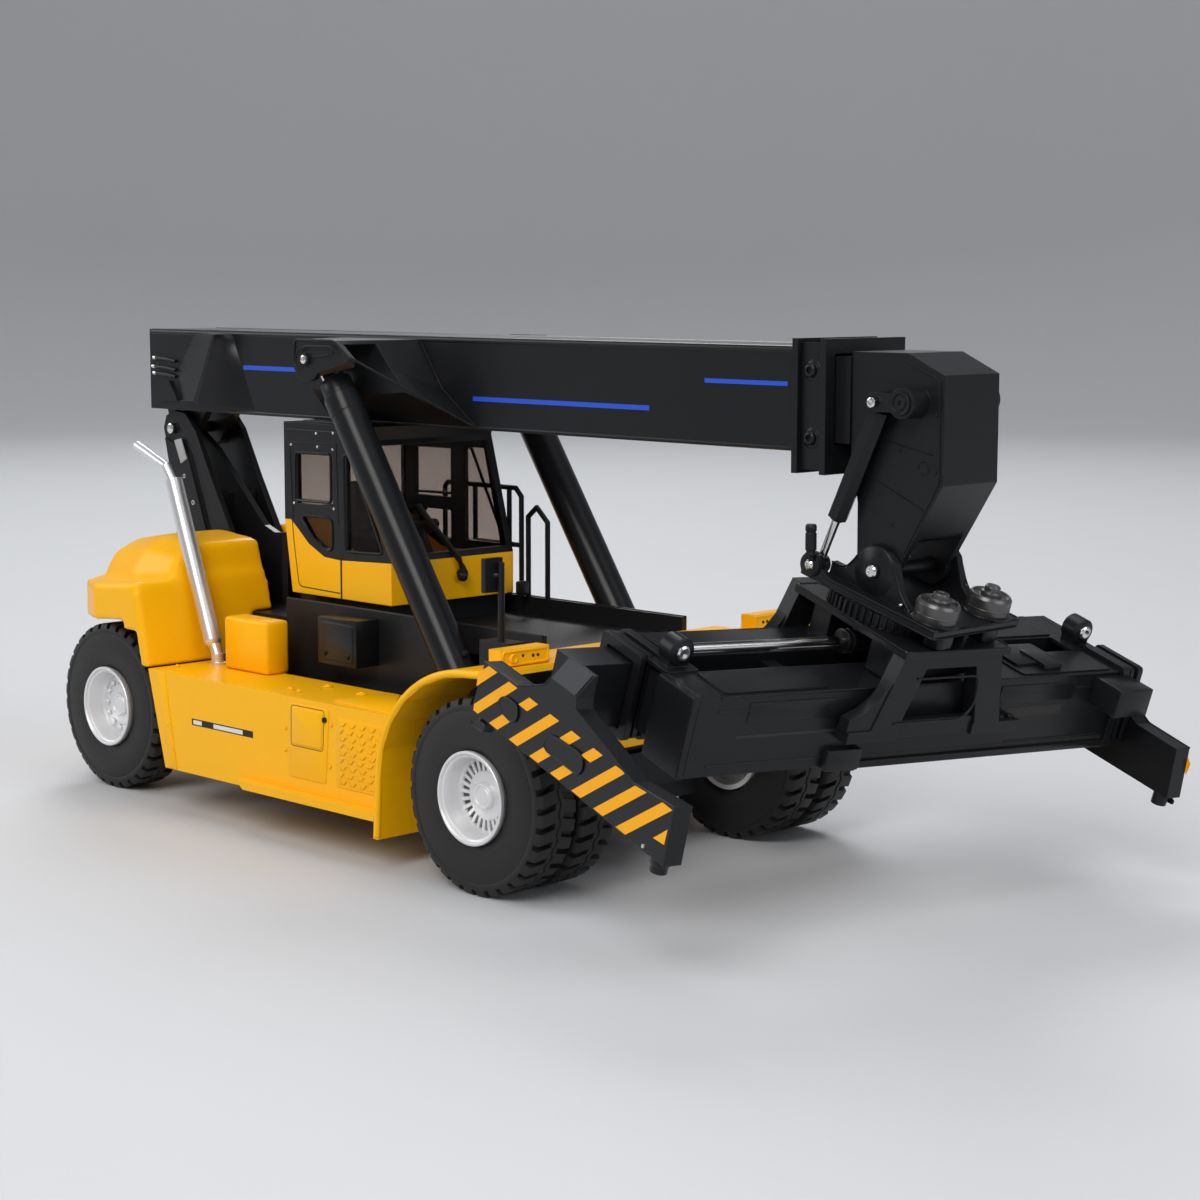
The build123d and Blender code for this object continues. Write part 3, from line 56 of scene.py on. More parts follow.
# millimetres from the point on the ground under the middle of the front axle
MACHINE = (Matrix.Translation((wheel_right.x, (wheel_right.y + wheel_left.y) / 2, 0.0))
           @ Matrix.Scale(MM, 4))


def frame_at(origin, z_axis, y_axis):
    """Millimetres in a frame whose z and y directions are given in the row frame."""
    z = Vector(z_axis).normalized()
    x = Vector(y_axis).cross(z).normalized()
    y = z.cross(x)
    turn = Matrix((x, y, z)).transposed().to_4x4()
    return Matrix.Translation(origin) @ turn @ Matrix.Scale(MM, 4)


TILT_POINT = JOINTS["spreader_tilt"]["pos_m"]
SLEW_AXIS = JOINTS["spreader_slew"]["axis"]
ROTATOR = frame_at(TILT_POINT, SLEW_AXIS, (0, 1, 0))
SPREADER = frame_at(TILT_POINT, SLEW_AXIS, JOINTS["side_shift"]["axis"])


# ---------------------------------------------------------------- materials
def material(name, color, rough, metal=0.0, spread=0.06, grain=900.0, bump=0.004,
             coat=0.0, edge=0.15, blotch=60.0, shine=0.5):
    """Painted or bare surface: slow and fine colour variation, uneven gloss, bump and soft edges."""
    mat = bpy.data.materials.new(name)
    mat.use_nodes = True
    tree = mat.node_tree
    tree.nodes.clear()
    new, link = tree.nodes.new, tree.links.new
    out = new("ShaderNodeOutputMaterial")
    bsdf = new("ShaderNodeBsdfPrincipled")
    link(bsdf.outputs[0], out.inputs[0])
    bsdf.inputs["Metallic"].default_value = metal
    bsdf.inputs["Specular IOR Level"].default_value = shine
    bsdf.inputs["Coat Weight"].default_value = coat
    bsdf.inputs["Coat Roughness"].default_value = 0.12
    where = new("ShaderNodeTexCoord")
    slow = new("ShaderNodeTexNoise")
    slow.inputs["Scale"].default_value = blotch
    slow.inputs["Detail"].default_value = 3.0
    fine = new("ShaderNodeTexNoise")
    fine.inputs["Scale"].default_value = grain
    fine.inputs["Detail"].default_value = 2.0
    link(where.outputs["Object"], slow.inputs["Vector"])
    link(where.outputs["Object"], fine.inputs["Vector"])
    tint = new("ShaderNodeMix")
    tint.data_type = "RGBA"
    low = [max(0.0, c * (1 - spread)) for c in color]
    high = [min(1.0, c * (1 + spread)) for c in color]
    tint.inputs[6].default_value = (*low, 1)
    tint.inputs[7].default_value = (*high, 1)
    link(slow.outputs["Fac"], tint.inputs[0])
    link(tint.outputs[2], bsdf.inputs["Base Color"])
    gloss = new("ShaderNodeMapRange")
    gloss.inputs["To Min"].default_value = rough * 0.88
    gloss.inputs["To Max"].default_value = min(1.0, rough * 1.14)
    link(fine.outputs["Fac"], gloss.inputs["Value"])
    link(gloss.outputs[0], bsdf.inputs["Roughness"])
    if bump > 0:
        relief = new("ShaderNodeBump")
        relief.inputs["Strength"].default_value = 1.0
        relief.inputs["Distance"].default_value = bump * MM
        link(fine.outputs["Fac"], relief.inputs["Height"])
        link(relief.outputs[0], bsdf.inputs["Normal"])
    if edge > 0:
        soft = new("ShaderNodeBevel")
        soft.samples = 4
        soft.inputs["Radius"].default_value = edge * MM
        link(soft.outputs[0], relief.inputs["Normal"] if bump > 0 else bsdf.inputs["Normal"])
    return mat


def glass(name, color):
    """Smoked clear plastic, its tint slowly varying."""
    mat = material(name, color, 0.04, spread=0.04, bump=0.0, edge=0.0)
    bsdf = next(n for n in mat.node_tree.nodes if n.type == "BSDF_PRINCIPLED")
    mat.node_tree.links.remove(bsdf.inputs["Roughness"].links[0])
    bsdf.inputs["Roughness"].default_value = 0.0
    bsdf.inputs["Transmission Weight"].default_value = 1.0
    bsdf.inputs["IOR"].default_value = 1.12
    return mat


YELLOW = material("yellow_paint", (0.96, 0.47, 0.0015), 0.32, spread=0.02, bump=0.002, edge=0.35, shine=0.22)
BLACK = material("black_paint", (0.0085, 0.009, 0.0105), 0.30, spread=0.12, bump=0.003, edge=0.3, shine=0.24)
TRAY = material("tray_paint", (0.0085, 0.0085, 0.010), 0.40, spread=0.15, bump=0.006, edge=0.25, shine=0.28)
GRIP = material("grip_coating", (0.030, 0.033, 0.040), 0.62, spread=0.2, grain=1500.0, bump=0.05, edge=0.2)
RUBBER = material("tyre_rubber", (0.013, 0.0127, 0.0127), 0.50, spread=0.14, bump=0.006, edge=0.12,
                  shine=0.35)
SILVER = material("silver_paint", (0.80, 0.80, 0.81), 0.42, metal=0.6, spread=0.03, bump=0.0012, edge=0.12)
TUBE = material("silver_tube", (0.78, 0.78, 0.79), 0.34, metal=0.9, spread=0.03, bump=0.0, edge=0.0)
CHROME = material("polished_steel", (0.72, 0.71, 0.70), 0.17, metal=1.0, spread=0.03, bump=0.0, edge=0.1)
MOTOR = material("dark_metal", (0.10, 0.098, 0.098), 0.32, metal=0.75, spread=0.1, bump=0.003, edge=0.2)
PLASTIC = material("grey_plastic", (0.045, 0.045, 0.05), 0.5, spread=0.1, bump=0.006, edge=0.3)
GLASS = glass("smoky_glass", (0.55, 0.49, 0.45))
SEAM = material("seam_line", (0.012, 0.010, 0.008), 0.6, spread=0.05, bump=0.001, edge=0.0)
LABEL = material("blank_label", (0.34, 0.35, 0.36), 0.4, spread=0.06, bump=0.002, edge=0.0)
WHITE = material("white_bar", (0.70, 0.70, 0.70), 0.4, spread=0.03, bump=0.001, edge=0.0)
BLUE = material("blue_line", (0.010, 0.075, 0.60), 0.34, spread=0.04, bump=0.001, edge=0.0)
HAZARD = material("hazard_yellow", (0.92, 0.40, 0.004), 0.36, spread=0.03, bump=0.001, edge=0.0, shine=0.2)

BY_SLOT = {"yellow_paint": YELLOW, "black_paint": BLACK, "tyre_rubber": RUBBER, "silver_paint": SILVER,
           "polished_steel": CHROME, "smoky_glass": GLASS, "dark_metal": MOTOR, "grey_plastic": PLASTIC}
OWN_FINISH = {"deck_tray": TRAY, "exhaust": TUBE, "twistlocks_right": BLACK, "twistlocks_left": BLACK}
SLOT_OF = {s["node"]: s["material_slot"] for s in frame["record"]["subparts"]}
for node, obj in frame["nodes"].items():
    obj.data.materials.clear()
    obj.data.materials.append(OWN_FINISH.get(node) or BY_SLOT[SLOT_OF[node]])


# ---------------------------------------------------------------- mesh building
def rounded(points, radius, closed=False, steps=4):
    """The points of a path with its corners turned into short arcs."""
    pts = [Vector(p) for p in points]
    if closed:
        corners = [(pts[i - 1], pts[i], pts[(i + 1) % len(pts)]) for i in range(len(pts))]
        path = []
    else:
        corners = list(zip(pts, pts[1:], pts[2:]))
        path = [pts[0]]
    for before, here, after in corners:
        r = min(radius, (before - here).length * 0.45, (after - here).length * 0.45)
        a = here + (before - here).normalized() * r
        b = here + (after - here).normalized() * r
        for k in range(steps + 1):
            t = k / steps
            path.append(a * (1 - t) ** 2 + here * 2 * t * (1 - t) + b * t ** 2)
    return path if closed else path + [pts[-1]]


def soft(outline, radius, steps=4):
    """A closed flat outline with its corners rounded."""
    return [(p.x, p.y) for p in rounded([(*p, 0) for p in outline], radius, closed=True, steps=steps)]


ORDER = {"x": lambda a, b, d: (d, a, b), "y": lambda a, b, d: (a, d, b), "z": lambda a, b, d: (a, b, d)}


class Piece:
    """One piece of the scene, collected from simple closed shapes given in millimetres."""

    def __init__(self, name, body, mat, slot, place=MACHINE, bevel=0.0, smooth=32.0):
        self.name, self.body, self.mat, self.slot_name = name, body, mat, slot
        self.place, self.bevel, self.smooth = place, bevel, smooth
        self.verts, self.faces = [], []

    def add(self, points, faces):
        start = len(self.verts)
        self.verts += [Vector(p) for p in points]
        self.faces += [[start + i for i in f] for f in faces]

    def mirror(self):
        """Everything so far once more, on the other side of the middle plane."""
        start = len(self.verts)
        self.verts += [Vector((v.x, -v.y, v.z)) for v in self.verts]
        self.faces += [[start + i for i in f[::-1]] for f in self.faces]
        return self

    def rings(self, rings, closed=False):
        """Skin over rings of equal length; the ends are capped unless the rings close on themselves."""
        n = len(rings[0])
        points = [p for ring in rings for p in ring]
        faces = []
        for k in range(len(rings) - (0 if closed else 1)):
            a, b = k * n, (k + 1) % len(rings) * n
            faces += [[a + i, a + (i + 1) % n, b + (i + 1) % n, b + i] for i in range(n)]
        if not closed:
            faces.append(list(range(n))[::-1])
            faces.append([(len(rings) - 1) * n + i for i in range(n)])
        self.add(points, faces)

    def plate(self, outline, axis, low, high):
        """A plate with its outline in the plane across the axis."""
        self.rings([[ORDER[axis](a, b, d) for a, b in outline] for d in (low, high)])

    def box(self, x0, x1, y0, y1, z0, z1):
        self.plate([(x0, y0), (x1, y0), (x1, y1), (x0, y1)], "z", z0, z1)

    def turned(self, profile, start, axis, count=32, hollow=False):
        """A turned shape: (distance along the axis, radius) pairs from start."""
        along = Vector(axis).normalized()
        across = along.orthogonal().normalized()
        up = along.cross(across)

        def spot(d, r, k):
            a = ROUND * k / count
            return Vector(start) + along * d + (across * math.cos(a) + up * math.sin(a)) * r

        if hollow:
            self.rings([[spot(d, r, k) for d, r in profile] for k in range(count)], closed=True)
        else:
            self.rings([[spot(d, r, k) for k in range(count)] for d, r in profile])

    def rod(self, start, end, radius, count=20, edge=0.0):
        """A round bar, its ends chamfered by edge."""
        axis = Vector(end) - Vector(start)
        run = axis.length
        profile = [(0, radius - edge), (edge, radius), (run - edge, radius), (run, radius - edge)]
        self.turned(profile if edge > 0 else profile[::3], start, axis, count)

    def bolt(self, at, axis, radius, height, count=16):
        """A round bolt head with a chamfer and a socket."""
        h, r = height, radius
        self.turned([(0, r), (h * 0.7, r), (h, r * 0.8), (h, r * 0.5), (h * 0.45, r * 0.45)], at, axis, count)

    def tube(self, points, radius, count=8, corner=None, closed=False):
        """A bent bar through the points, with round corners."""
        path = rounded(points, radius * 2.2 if corner is None else corner, closed)
        rings = []
        normal = None
        last = len(path) - 1
        for i, p in enumerate(path):
            after = path[(i + 1) % len(path)] if closed else path[min(i + 1, last)]
            before = path[i - 1] if closed else path[max(i - 1, 0)]
            ahead = (after - before).normalized()
            if normal is None:
                normal = ahead.orthogonal().normalized()
            normal = (normal - ahead * normal.dot(ahead)).normalized()
            other = ahead.cross(normal)
            rings.append([p + (normal * math.cos(a) + other * math.sin(a)) * radius
                          for a in (ROUND * k / count for k in range(count))])
        self.rings(rings, closed)

    def outline(self, points, axis, at, radius, corner=1.0, closed=True):
        """A thin bead along a flat outline."""
        self.tube([ORDER[axis](a, b, at) for a, b in points], radius, 6, corner, closed)

    def done(self, replaces=()):
        mesh = bpy.data.meshes.new(self.name)
        mesh.from_pydata([(self.place @ v)[:] for v in self.verts], [], self.faces)
        work = bmesh.new()
        work.from_mesh(mesh)
        bmesh.ops.recalc_face_normals(work, faces=work.faces)
        if self.bevel > 0:
            sharp = [e for e in work.edges
                     if len(e.link_faces) == 2 and e.calc_face_angle(0) > math.radians(30)]
            bmesh.ops.bevel(work, geom=sharp, offset=self.bevel * MM, segments=2, profile=0.5,
                            affect="EDGES", clamp_overlap=True)
        work.to_mesh(mesh)
        work.free()
        mesh.materials.append(self.mat)
        obj = bpy.data.objects.new(self.name, mesh)
        bpy.context.scene.collection.objects.link(obj)
        mesh.shade_smooth()
        mesh.set_sharp_from_angle(angle=math.radians(self.smooth))
        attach(obj, self.body)
        if replaces:
            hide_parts(*replaces)
        return obj


def span(node):
    """A node's box in machine millimetres: lowest and highest corner."""
    back = MACHINE.inverted()
    return [back @ Vector(corner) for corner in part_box(node)]


# ---------------------------------------------------------------- wheels
PITCHES = 32            # slots round each of a tyre's two rows
SLOT_DEPTH = 1.5
SLOT_RUN = 4.7          # how far a slot reaches in from the tyre's side
SLOT_SLANT = 0.2126     # turn towards the middle, as run along the rim for each millimetre across
SLOT_COLUMNS = (-0.155, 0.0, 0.155)
COLUMNS = (-0.175, -0.155, 0.0, 0.155, 0.175, 0.325, 0.345, 0.5, 0.655, 0.675)
RING_R = 0.87           # fine ring on the sidewall, as a share of the radius
FRONT_FINS = 26
REAR_BOLTS = 14
BOLT_CIRCLE_R = 6.9
FIN_ENDS = ((5.7, 0.42), (8.45, 0.5))       # radius and half width at a fin's inner and outer end
FIN_LEVELS = ((6.0, 1.0), (5.35, 0.9))      # depth below the lip, and share of that width


def tyre(piece, y_out, y_in, radius, bore):
    """A tyre between two sides: plain walls with a fine ring, and two staggered rows of open slots."""
    half = (y_in - y_out) / 2
    floor = radius - SLOT_DEPTH
    wall = [(1.3, bore), (0.8, bore + 0.25), (0.35, bore + 0.9), (0.1, bore + 2.2), (0.0, bore + 4.5),
            (0.02, radius * RING_R - 0.3), (0.16, radius * RING_R), (0.02, radius * RING_R + 0.3),
            (0.06, floor - 0.35), (0.2, floor)]
    tread = [(0.55, radius - 0.6), (0.95, radius - 0.12), (1.4, radius), (SLOT_RUN - 0.15, radius)]
    crown = [(SLOT_RUN + 0.1, radius), (half - 0.34, radius), (half - 0.12, radius - 0.45)]
    rings = []
    for pitch in range(PITCHES):
        for share in COLUMNS:
            ring = []
            for row in (0, 1):
                local = share - row * 0.5
                slotted = min(abs(local - c) for c in SLOT_COLUMNS) < 0.01
                side = []
                for d, r in wall + tread + crown:
                    if slotted and (d, r) in tread:
                        r = floor - 0.02 * d
                    angle = ROUND * (pitch + share) / PITCHES + SLOT_SLANT * max(0.0, d - 0.5) / radius
                    zig = 0.3 if abs(share) < 0.2 else -0.3
                    y = y_out + d if row == 0 else y_in - d
                    if d > half - 0.5:
                        y += zig
                    side.append((r * math.cos(angle), y, r * math.sin(angle)))
                ring += side if row == 0 else side[::-1]
            rings.append(ring)
    piece.rings(rings, closed=True)


def rim(piece, lip, outward, depth_in, fins, bolts):
    """A dished rim: lip at y = lip, its dish facing outward (-1 right, 1 left), tube depth_in long."""
    start, axis = (0, lip, 0), (0, -outward, 0)
    shell = [(1.05, 10.36), (1.05, 11.0), (0.22, 11.0), (0.04, 10.85), (0.0, 10.4), (0.22, 10.15),
             (0.6, 10.05), (0.8, 9.6), (1.1, 9.42), (1.9, 9.3), (4.4, 8.85), (5.1, 8.7), (5.5, 8.35),
             (5.95, 8.3), (5.95, 5.85), (5.5, 5.8), (5.3, 5.6), (5.3, 3.0), (5.3, 2.75), (6.9, 2.75),
             (6.9, 9.2), (depth_in, 9.2), (depth_in, 10.36)]
    piece.turned(shell, start, axis, 72, hollow=True)
    hub = [(6.6, 2.7), (5.2, 3.25), (4.35, 3.2), (4.0, 2.95), (4.0, 2.45), (4.3, 2.25), (4.3, 2.1),
           (4.15, 1.9), (4.15, 0.01)]
    piece.turned(hub, start, axis, 40)
    corners = [(*FIN_ENDS[0], -1), (*FIN_ENDS[0], 1), (*FIN_ENDS[1], 1), (*FIN_ENDS[1], -1)]
    for k in range(fins):
        a = ROUND * k / fins
        piece.rings([[(r * math.cos(a) - s * half * slim * math.sin(a), lip - outward * depth,
                       r * math.sin(a) + s * half * slim * math.cos(a)) for r, half, s in corners]
                     for depth, slim in FIN_LEVELS])
    for k in range(bolts):
        a = ROUND * k / bolts
        at = (BOLT_CIRCLE_R * math.cos(a), lip - outward * 5.9, BOLT_CIRCLE_R * math.sin(a))
        piece.turned([(0, 0.75), (0.7, 0.75), (0.95, 0.45), (0.95, 0.01)], at, (0, outward, 0), 10)


BORE = 10.4
TYRE_W = 11.8
for side, outward in (("right", -1), ("left", 1)):
    for which in ("front", "rear"):
        node = f"{which}_tyres_{side}" if which == "front" else f"{which}_tyre_{side}"
        body = f"front_wheels_{side}" if which == "front" else f"rear_wheel_{side}"
        low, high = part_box(node)
        radius = (high.z - low.z) / 2 / MM
        place = Matrix.Translation(((low.x + high.x) / 2, 0, (low.z + high.z) / 2)) @ Matrix.Scale(MM, 4)
        y0, y1 = low.y / MM, high.y / MM
        rubber = Piece(f"{node}_tread", body, RUBBER, "tyre_rubber", place=place, smooth=35.0)
        tyre(rubber, y0, y0 + TYRE_W, radius, BORE)
        if which == "front":
            tyre(rubber, y1 - TYRE_W, y1, radius, BORE)
        rubber.done(replaces=(node,))
        metal = Piece(f"{which}_rim_{side}_dish", body, SILVER, "silver_paint", place=place, smooth=35.0)
        low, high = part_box(f"{which}_rim_{side}")
        lip = (low.y if outward < 0 else high.y) / MM
        fins, bolts = (FRONT_FINS, 0) if which == "front" else (0, REAR_BOLTS)
        rim(metal, lip, outward, (high.y - low.y) / MM, fins, bolts)
        metal.done(replaces=(f"{which}_rim_{side}",))
        if which == "front":
            # a dark metal ring under the fins: painted shade in the gaps between the fins, where the silver dish
            # lies in shadow
            shade = Piece(f"front_rim_{side}_painted_shade_ring", body, MOTOR, "dark_metal", place=place, smooth=35.0)
            shade.turned([(5.97, 5.9), (5.9, 5.9), (5.9, 8.25), (5.97, 8.25)], (0, lip, 0),
                         (0, -outward, 0), 72, hollow=True)
            shade.done()


# ---------------------------------------------------------------- side boxes and deck
SIDE_Y = -54.0
side = Piece("side_box_panels", "chassis", YELLOW, "yellow_paint", bevel=0.12)
DOOR_FRAME = [(-69.0, 36.6), (-53.4, 36.6), (-55.1, 17.9), (-69.8, 17.9)]
DOOR = [(-67.8, 35.6), (-55.8, 35.6), (-56.4, 26.4), (-68.0, 26.4)]
side.plate(soft(DOOR_FRAME, 0.8), "y", SIDE_Y - 0.22, SIDE_Y + 0.3)
side.plate(soft(DOOR, 0.8), "y", SIDE_Y - 0.5, SIDE_Y)
side.plate([(-126.4, 37.7), (-123.0, 37.7), (-118.1, 12.6), (-121.6, 12.6)], "y", SIDE_Y - 0.25, SIDE_Y + 0.3)
TREAD_PANEL = [(-50.4, 35.1), (-31.8, 35.1), (-35.0, 17.9), (-50.8, 17.9)]
SIDE_BOLTS = ((-70.9, 29.8), (-71.1, 24.3), (-121.6, 24.0), (-119.9, 18.0), (-52.6, 33.0), (-53.4, 22.5))
DECK_Z = 38.0
FILLER_CAPS = ((-77.1, -47.5, 0.9), (-72.6, -48.5, 0.6), (-73.7, -38.4, 1.3), (-58.6, -39.7, 1.5),
               (-127.5, -46.8, 0.7))
side.plate(soft(TREAD_PANEL, 0.6), "y", SIDE_Y - 0.2, SIDE_Y + 0.3)
for row in range(9):
    z = 19.3 + row * 1.8
    for column in range(9):
        x = -49.4 + column * 1.9 + (0.95 if row % 2 else 0.0)
        if x < -34.6 + (z - 18) * 0.14:
            lean = 0.5 if (row + column) % 2 else -0.5
            mark = [(x - 0.7, z - lean * 1.2), (x, z - 0.26), (x + 0.7, z + lean * 1.2), (x, z + 0.26)]
            side.plate(mark, "y", SIDE_Y - 0.5, SIDE_Y - 0.1)
for x, z in SIDE_BOLTS:
    side.turned([(0, 0.55), (0.3, 0.5), (0.45, 0.25), (0.45, 0.01)], (x, SIDE_Y, z), (0, -1, 0), 12)
# filler caps and a raised corner plate on the deck
for x, y, r in FILLER_CAPS:
    side.turned([(0, r), (0.35, r), (0.5, r * 0.85), (0.5, r * 0.5), (0.75, r * 0.45), (0.75, 0.01)],
                (x, y, DECK_Z), (0, 0, 1), 20)
side.plate(soft([(-56.0, -50.6), (-55.6, -34.2), (-50.6, -34.0), (-31.6, -52.6)], 1.0), "z", 37.9, 38.4)
side.mirror()
side.done()

lips = Piece("fender_lips", "chassis", YELLOW, "yellow_paint", smooth=60)
LIP_Y = -56.1
ARCH_R, ARCH_Z, ARCH_STRETCH = 28.8, 23.0, 1.12     # the wheel arch, longer than it is high
arc = []
for degrees in range(88, 181, 8):
    a = math.radians(degrees)
    arc.append((ARCH_R * ARCH_STRETCH * math.cos(a), LIP_Y, ARCH_Z + ARCH_R * math.sin(a)))
lips.tube([(6.4, LIP_Y, 52.2)] + arc + [(arc[-1][0] - 0.9, LIP_Y, 8.8)], 0.95, 12, 3.0)
lips.mirror()
lips.done()

marks = Piece("side_box_bars", "chassis", BLACK, "black_paint")
marks.plate([(-111.0, 27.1), (-84.6, 27.1), (-84.6, 25.4), (-111.0, 25.4)], "y", SIDE_Y - 0.06, SIDE_Y)
marks.turned([(0, 0.7), (0.5, 0.7), (0.5, 0.35), (0.3, 0.3)], (-54.9, SIDE_Y - 0.2, 33.9), (0, -1, 0), 16)
marks.mirror()
marks.done()
marks = Piece("side_box_white_bars", "chassis", WHITE, "silver_paint")
for x0, x1 in ((-110.3, -106.6), (-101.4, -88.9)):
    marks.plate([(x0, 26.8), (x1, 26.8), (x1, 25.7), (x0, 25.7)], "y", SIDE_Y - 0.1, SIDE_Y)
marks.mirror()
marks.done()
seams = Piece("side_box_seams", "chassis", SEAM, "black_paint")
seams.outline([(-68.4, 36.1), (-55.2, 36.1), (-55.9, 25.9), (-68.6, 25.9)], "y", SIDE_Y - 0.2, 0.1)
seams.mirror()
seams.done()

# lamp brackets: a raised border, a round lamp and three sockets
bracket = Piece("lamp_bracket_borders", "chassis", YELLOW, "yellow_paint", smooth=60)
bracket.outline([(-49.8, 56.5), (-35.8, 56.5), (-35.8, 53.5), (-49.8, 53.5)], "x", 4.7, 0.35, 0.6)
bracket.turned([(0, 1.2), (0.5, 1.2), (0.7, 0.9), (0.3, 0.7), (0.3, 0.01)], (4.6, -46.6, 54.9), (1, 0, 0), 20)
bracket.mirror()
bracket.done()
sockets = Piece("lamp_bracket_sockets", "chassis", SEAM, "black_paint")
for y, z, r in ((-43.6, 55.3, 0.35), (-40.4, 55.0, 0.4), (-38.9, 55.0, 0.4)):
    sockets.turned([(0, r), (0.12, r), (0.12, 0.01)], (4.7, y, z), (1, 0, 0), 12)
sockets.mirror()
sockets.done()

# boxes with rounded edges in place of the plain ones, seen from close by
for node, mat, slot_name, edge in (("battery_box", YELLOW, "yellow_paint", 0.9),
                                   ("valve_box", BLACK, "black_paint", 0.6)):
    low, high = span(node)
    shell = Piece(f"{node}_shell", "chassis", mat, slot_name, bevel=edge, smooth=50)
    shell.box(low.x, high.x, low.y, high.y, low.z, high.z)
    if node == "valve_box":
        x0, x1, z0, z1 = low.x + 1.2, high.x - 1.2, low.z + 1.2, high.z - 1.2
        shell.plate(soft([(x0, z0), (x1, z0), (x1, z1), (x0, z1)], 0.8), "y", low.y - 0.25, low.y + 0.3)
        for x in (low.x + 3.0, high.x - 3.0):
            shell.bolt((x, low.y - 0.2, low.z + 2.6), (0, -1, 0), 0.6, 0.5)
    shell.done(replaces=(node,))

# a round edge along both sides of the deck tray
tray = Piece("deck_tray_edges", "chassis", TRAY, "black_paint", smooth=60)
low, high = span("deck_tray")
tray.rod((low.x, low.y + 0.4, high.z - 0.15), (high.x, low.y + 0.4, high.z - 0.15), 0.42, 12)
tray.mirror()
tray.done()

# ---------------------------------------------------------------- hood and exhaust
SKIN_VOXEL = 0.7        # the skin is made of cells of this size and then relaxed
SKIN_PASSES = 4
CROWN_Z = 57.5          # above this the hood is rounder
CROWN_PASSES = 14


def relax(work, verts, passes):
    """Move the vertices towards the middle of their neighbours, again and again."""
    for _ in range(passes):
        bmesh.ops.smooth_vert(work, verts=verts, factor=0.5, use_axis_x=True, use_axis_y=True,
                              use_axis_z=True)


# the hood as one cast skin, its crests rounder than the CAD hood's
source = frame["nodes"]["hood"]
block = bpy.data.objects.new("hood_block", source.data.copy())
bpy.context.scene.collection.objects.link(block)
block.matrix_world = source.matrix_world
skin = block.modifiers.new("skin", "REMESH")
skin.mode = "VOXEL"
skin.voxel_size = SKIN_VOXEL * MM
bpy.context.view_layer.update()
hood_mesh = bpy.data.meshes.new_from_object(block.evaluated_get(bpy.context.evaluated_depsgraph_get()))
bpy.data.objects.remove(block)
hood_mesh.name = "hood_skin"
shell = bmesh.new()
shell.from_mesh(hood_mesh)
shell.transform(source.matrix_world)
relax(shell, shell.verts, SKIN_PASSES)
relax(shell, [v for v in shell.verts if (MACHINE.inverted() @ v.co).z > CROWN_Z], CROWN_PASSES)
shell.to_mesh(hood_mesh)
shell.free()
hood_mesh.materials.clear()
hood_mesh.materials.append(YELLOW)
hood_mesh.shade_smooth()
hood = bpy.data.objects.new("hood_skin", hood_mesh)
bpy.context.scene.collection.objects.link(hood)
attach(hood, "chassis")
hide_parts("hood")

pipe = Piece("exhaust_collars", "chassis", TUBE, "silver_paint", smooth=45)
low_end, top_end = Vector((-126.4, -36.0, 44.0)), Vector((-143.0, -36.0, 86.5))
run = (top_end - low_end).normalized()
pipe.turned([(-1.4, 1.5), (-1.1, 2.0), (-0.2, 2.48), (0.3, 2.48), (0.4, 2.3)], low_end, run, 32)
pipe.turned([(0, 2.4), (0.6, 2.4), (0.8, 2.0), (0.8, 1.0)], (-124.0, -36.0, 38.0), (0, 0, 1), 28)
pipe.done()

# ---------------------------------------------------------------- cab
CAB_Y = span("cab_upper")[0].y
UPPER_WINDOW = [(-108.2, 95.0), (-93.3, 95.2), (-93.3, 82.5), (-108.6, 82.3)]
LOWER_WINDOW = [(-106.4, 78.5), (-92.8, 78.5), (-93.0, 69.4), (-98.0, 70.6), (-103.0, 74.0)]
FRONT_WINDOW = [(-87.9, 95.3), (-85.6, 95.6), (-72.2, 70.6), (-87.6, 70.1)]
CAB_LINES = [[(-110.8, 97.6), (-91.0, 98.1)], [(-110.8, 97.6), (-109.6, 77.4)],
             [(-112.4, 101.0), (-80.0, 101.0)], [(-91.0, 98.1), (-90.4, 77.0)]]
DOOR_GAP = [(-110.0, 77.0), (-109.4, 71.0), (-107.4, 59.3), (-90.0, 58.9)]
CAB_SCREWS = ((-109.9, 97.0), (-98.6, 96.9), (-92.2, 96.5), (-92.0, 81.0), (-108.9, 81.5),
              (-99.1, 100.4), (-92.0, 100.8))
rubber = Piece("cab_window_rubbers", "chassis", BLACK, "black_paint", smooth=60)
for outline, corner in ((UPPER_WINDOW, 1.2), (LOWER_WINDOW, 3.0), (FRONT_WINDOW, 1.5)):
    rubber.outline(outline, "y", CAB_Y + 0.05, 0.42, corner)
for points in CAB_LINES:
    rubber.outline(points, "y", CAB_Y + 0.02, 0.2, 0.5, closed=False)
rubber.mirror()
rubber.done()
gaps = Piece("cab_door_gaps", "chassis", SEAM, "black_paint")
gaps.outline(DOOR_GAP, "y", CAB_Y + 0.02, 0.16, 1.5, closed=False)
gaps.outline([(-89.4, 68.6), (-89.4, 57.6)], "y", CAB_Y + 0.02, 0.3, 0.2, closed=False)
gaps.mirror()
gaps.done()
screws = Piece("cab_screws", "chassis", CHROME, "polished_steel")
for x, z in CAB_SCREWS:
    screws.turned([(0, 0.42), (0.3, 0.4), (0.45, 0.2), (0.45, 0.01)], (x, CAB_Y, z), (0, -1, 0), 12)
screws.mirror()
screws.turned([(0, 1.3), (0.5, 1.3), (1.2, 0.8), (1.4, 0.01)], (-95.0, -17.0, 102.9), (0, 0, 1), 20)
screws.done()
roof = Piece("cab_roof_panels", "chassis", BLACK, "black_paint", bevel=0.2, smooth=50)
roof.plate(soft([(-110.5, -17.5), (-81.0, -17.5), (-81.0, 17.5), (-110.5, 17.5)], 2.0), "z", 102.8, 103.35)
for y in (-10.0, 0.0, 10.0):
    roof.box(-107.0, -88.0, y - 1.0, y + 1.0, 103.2, 103.6)
roof.done()
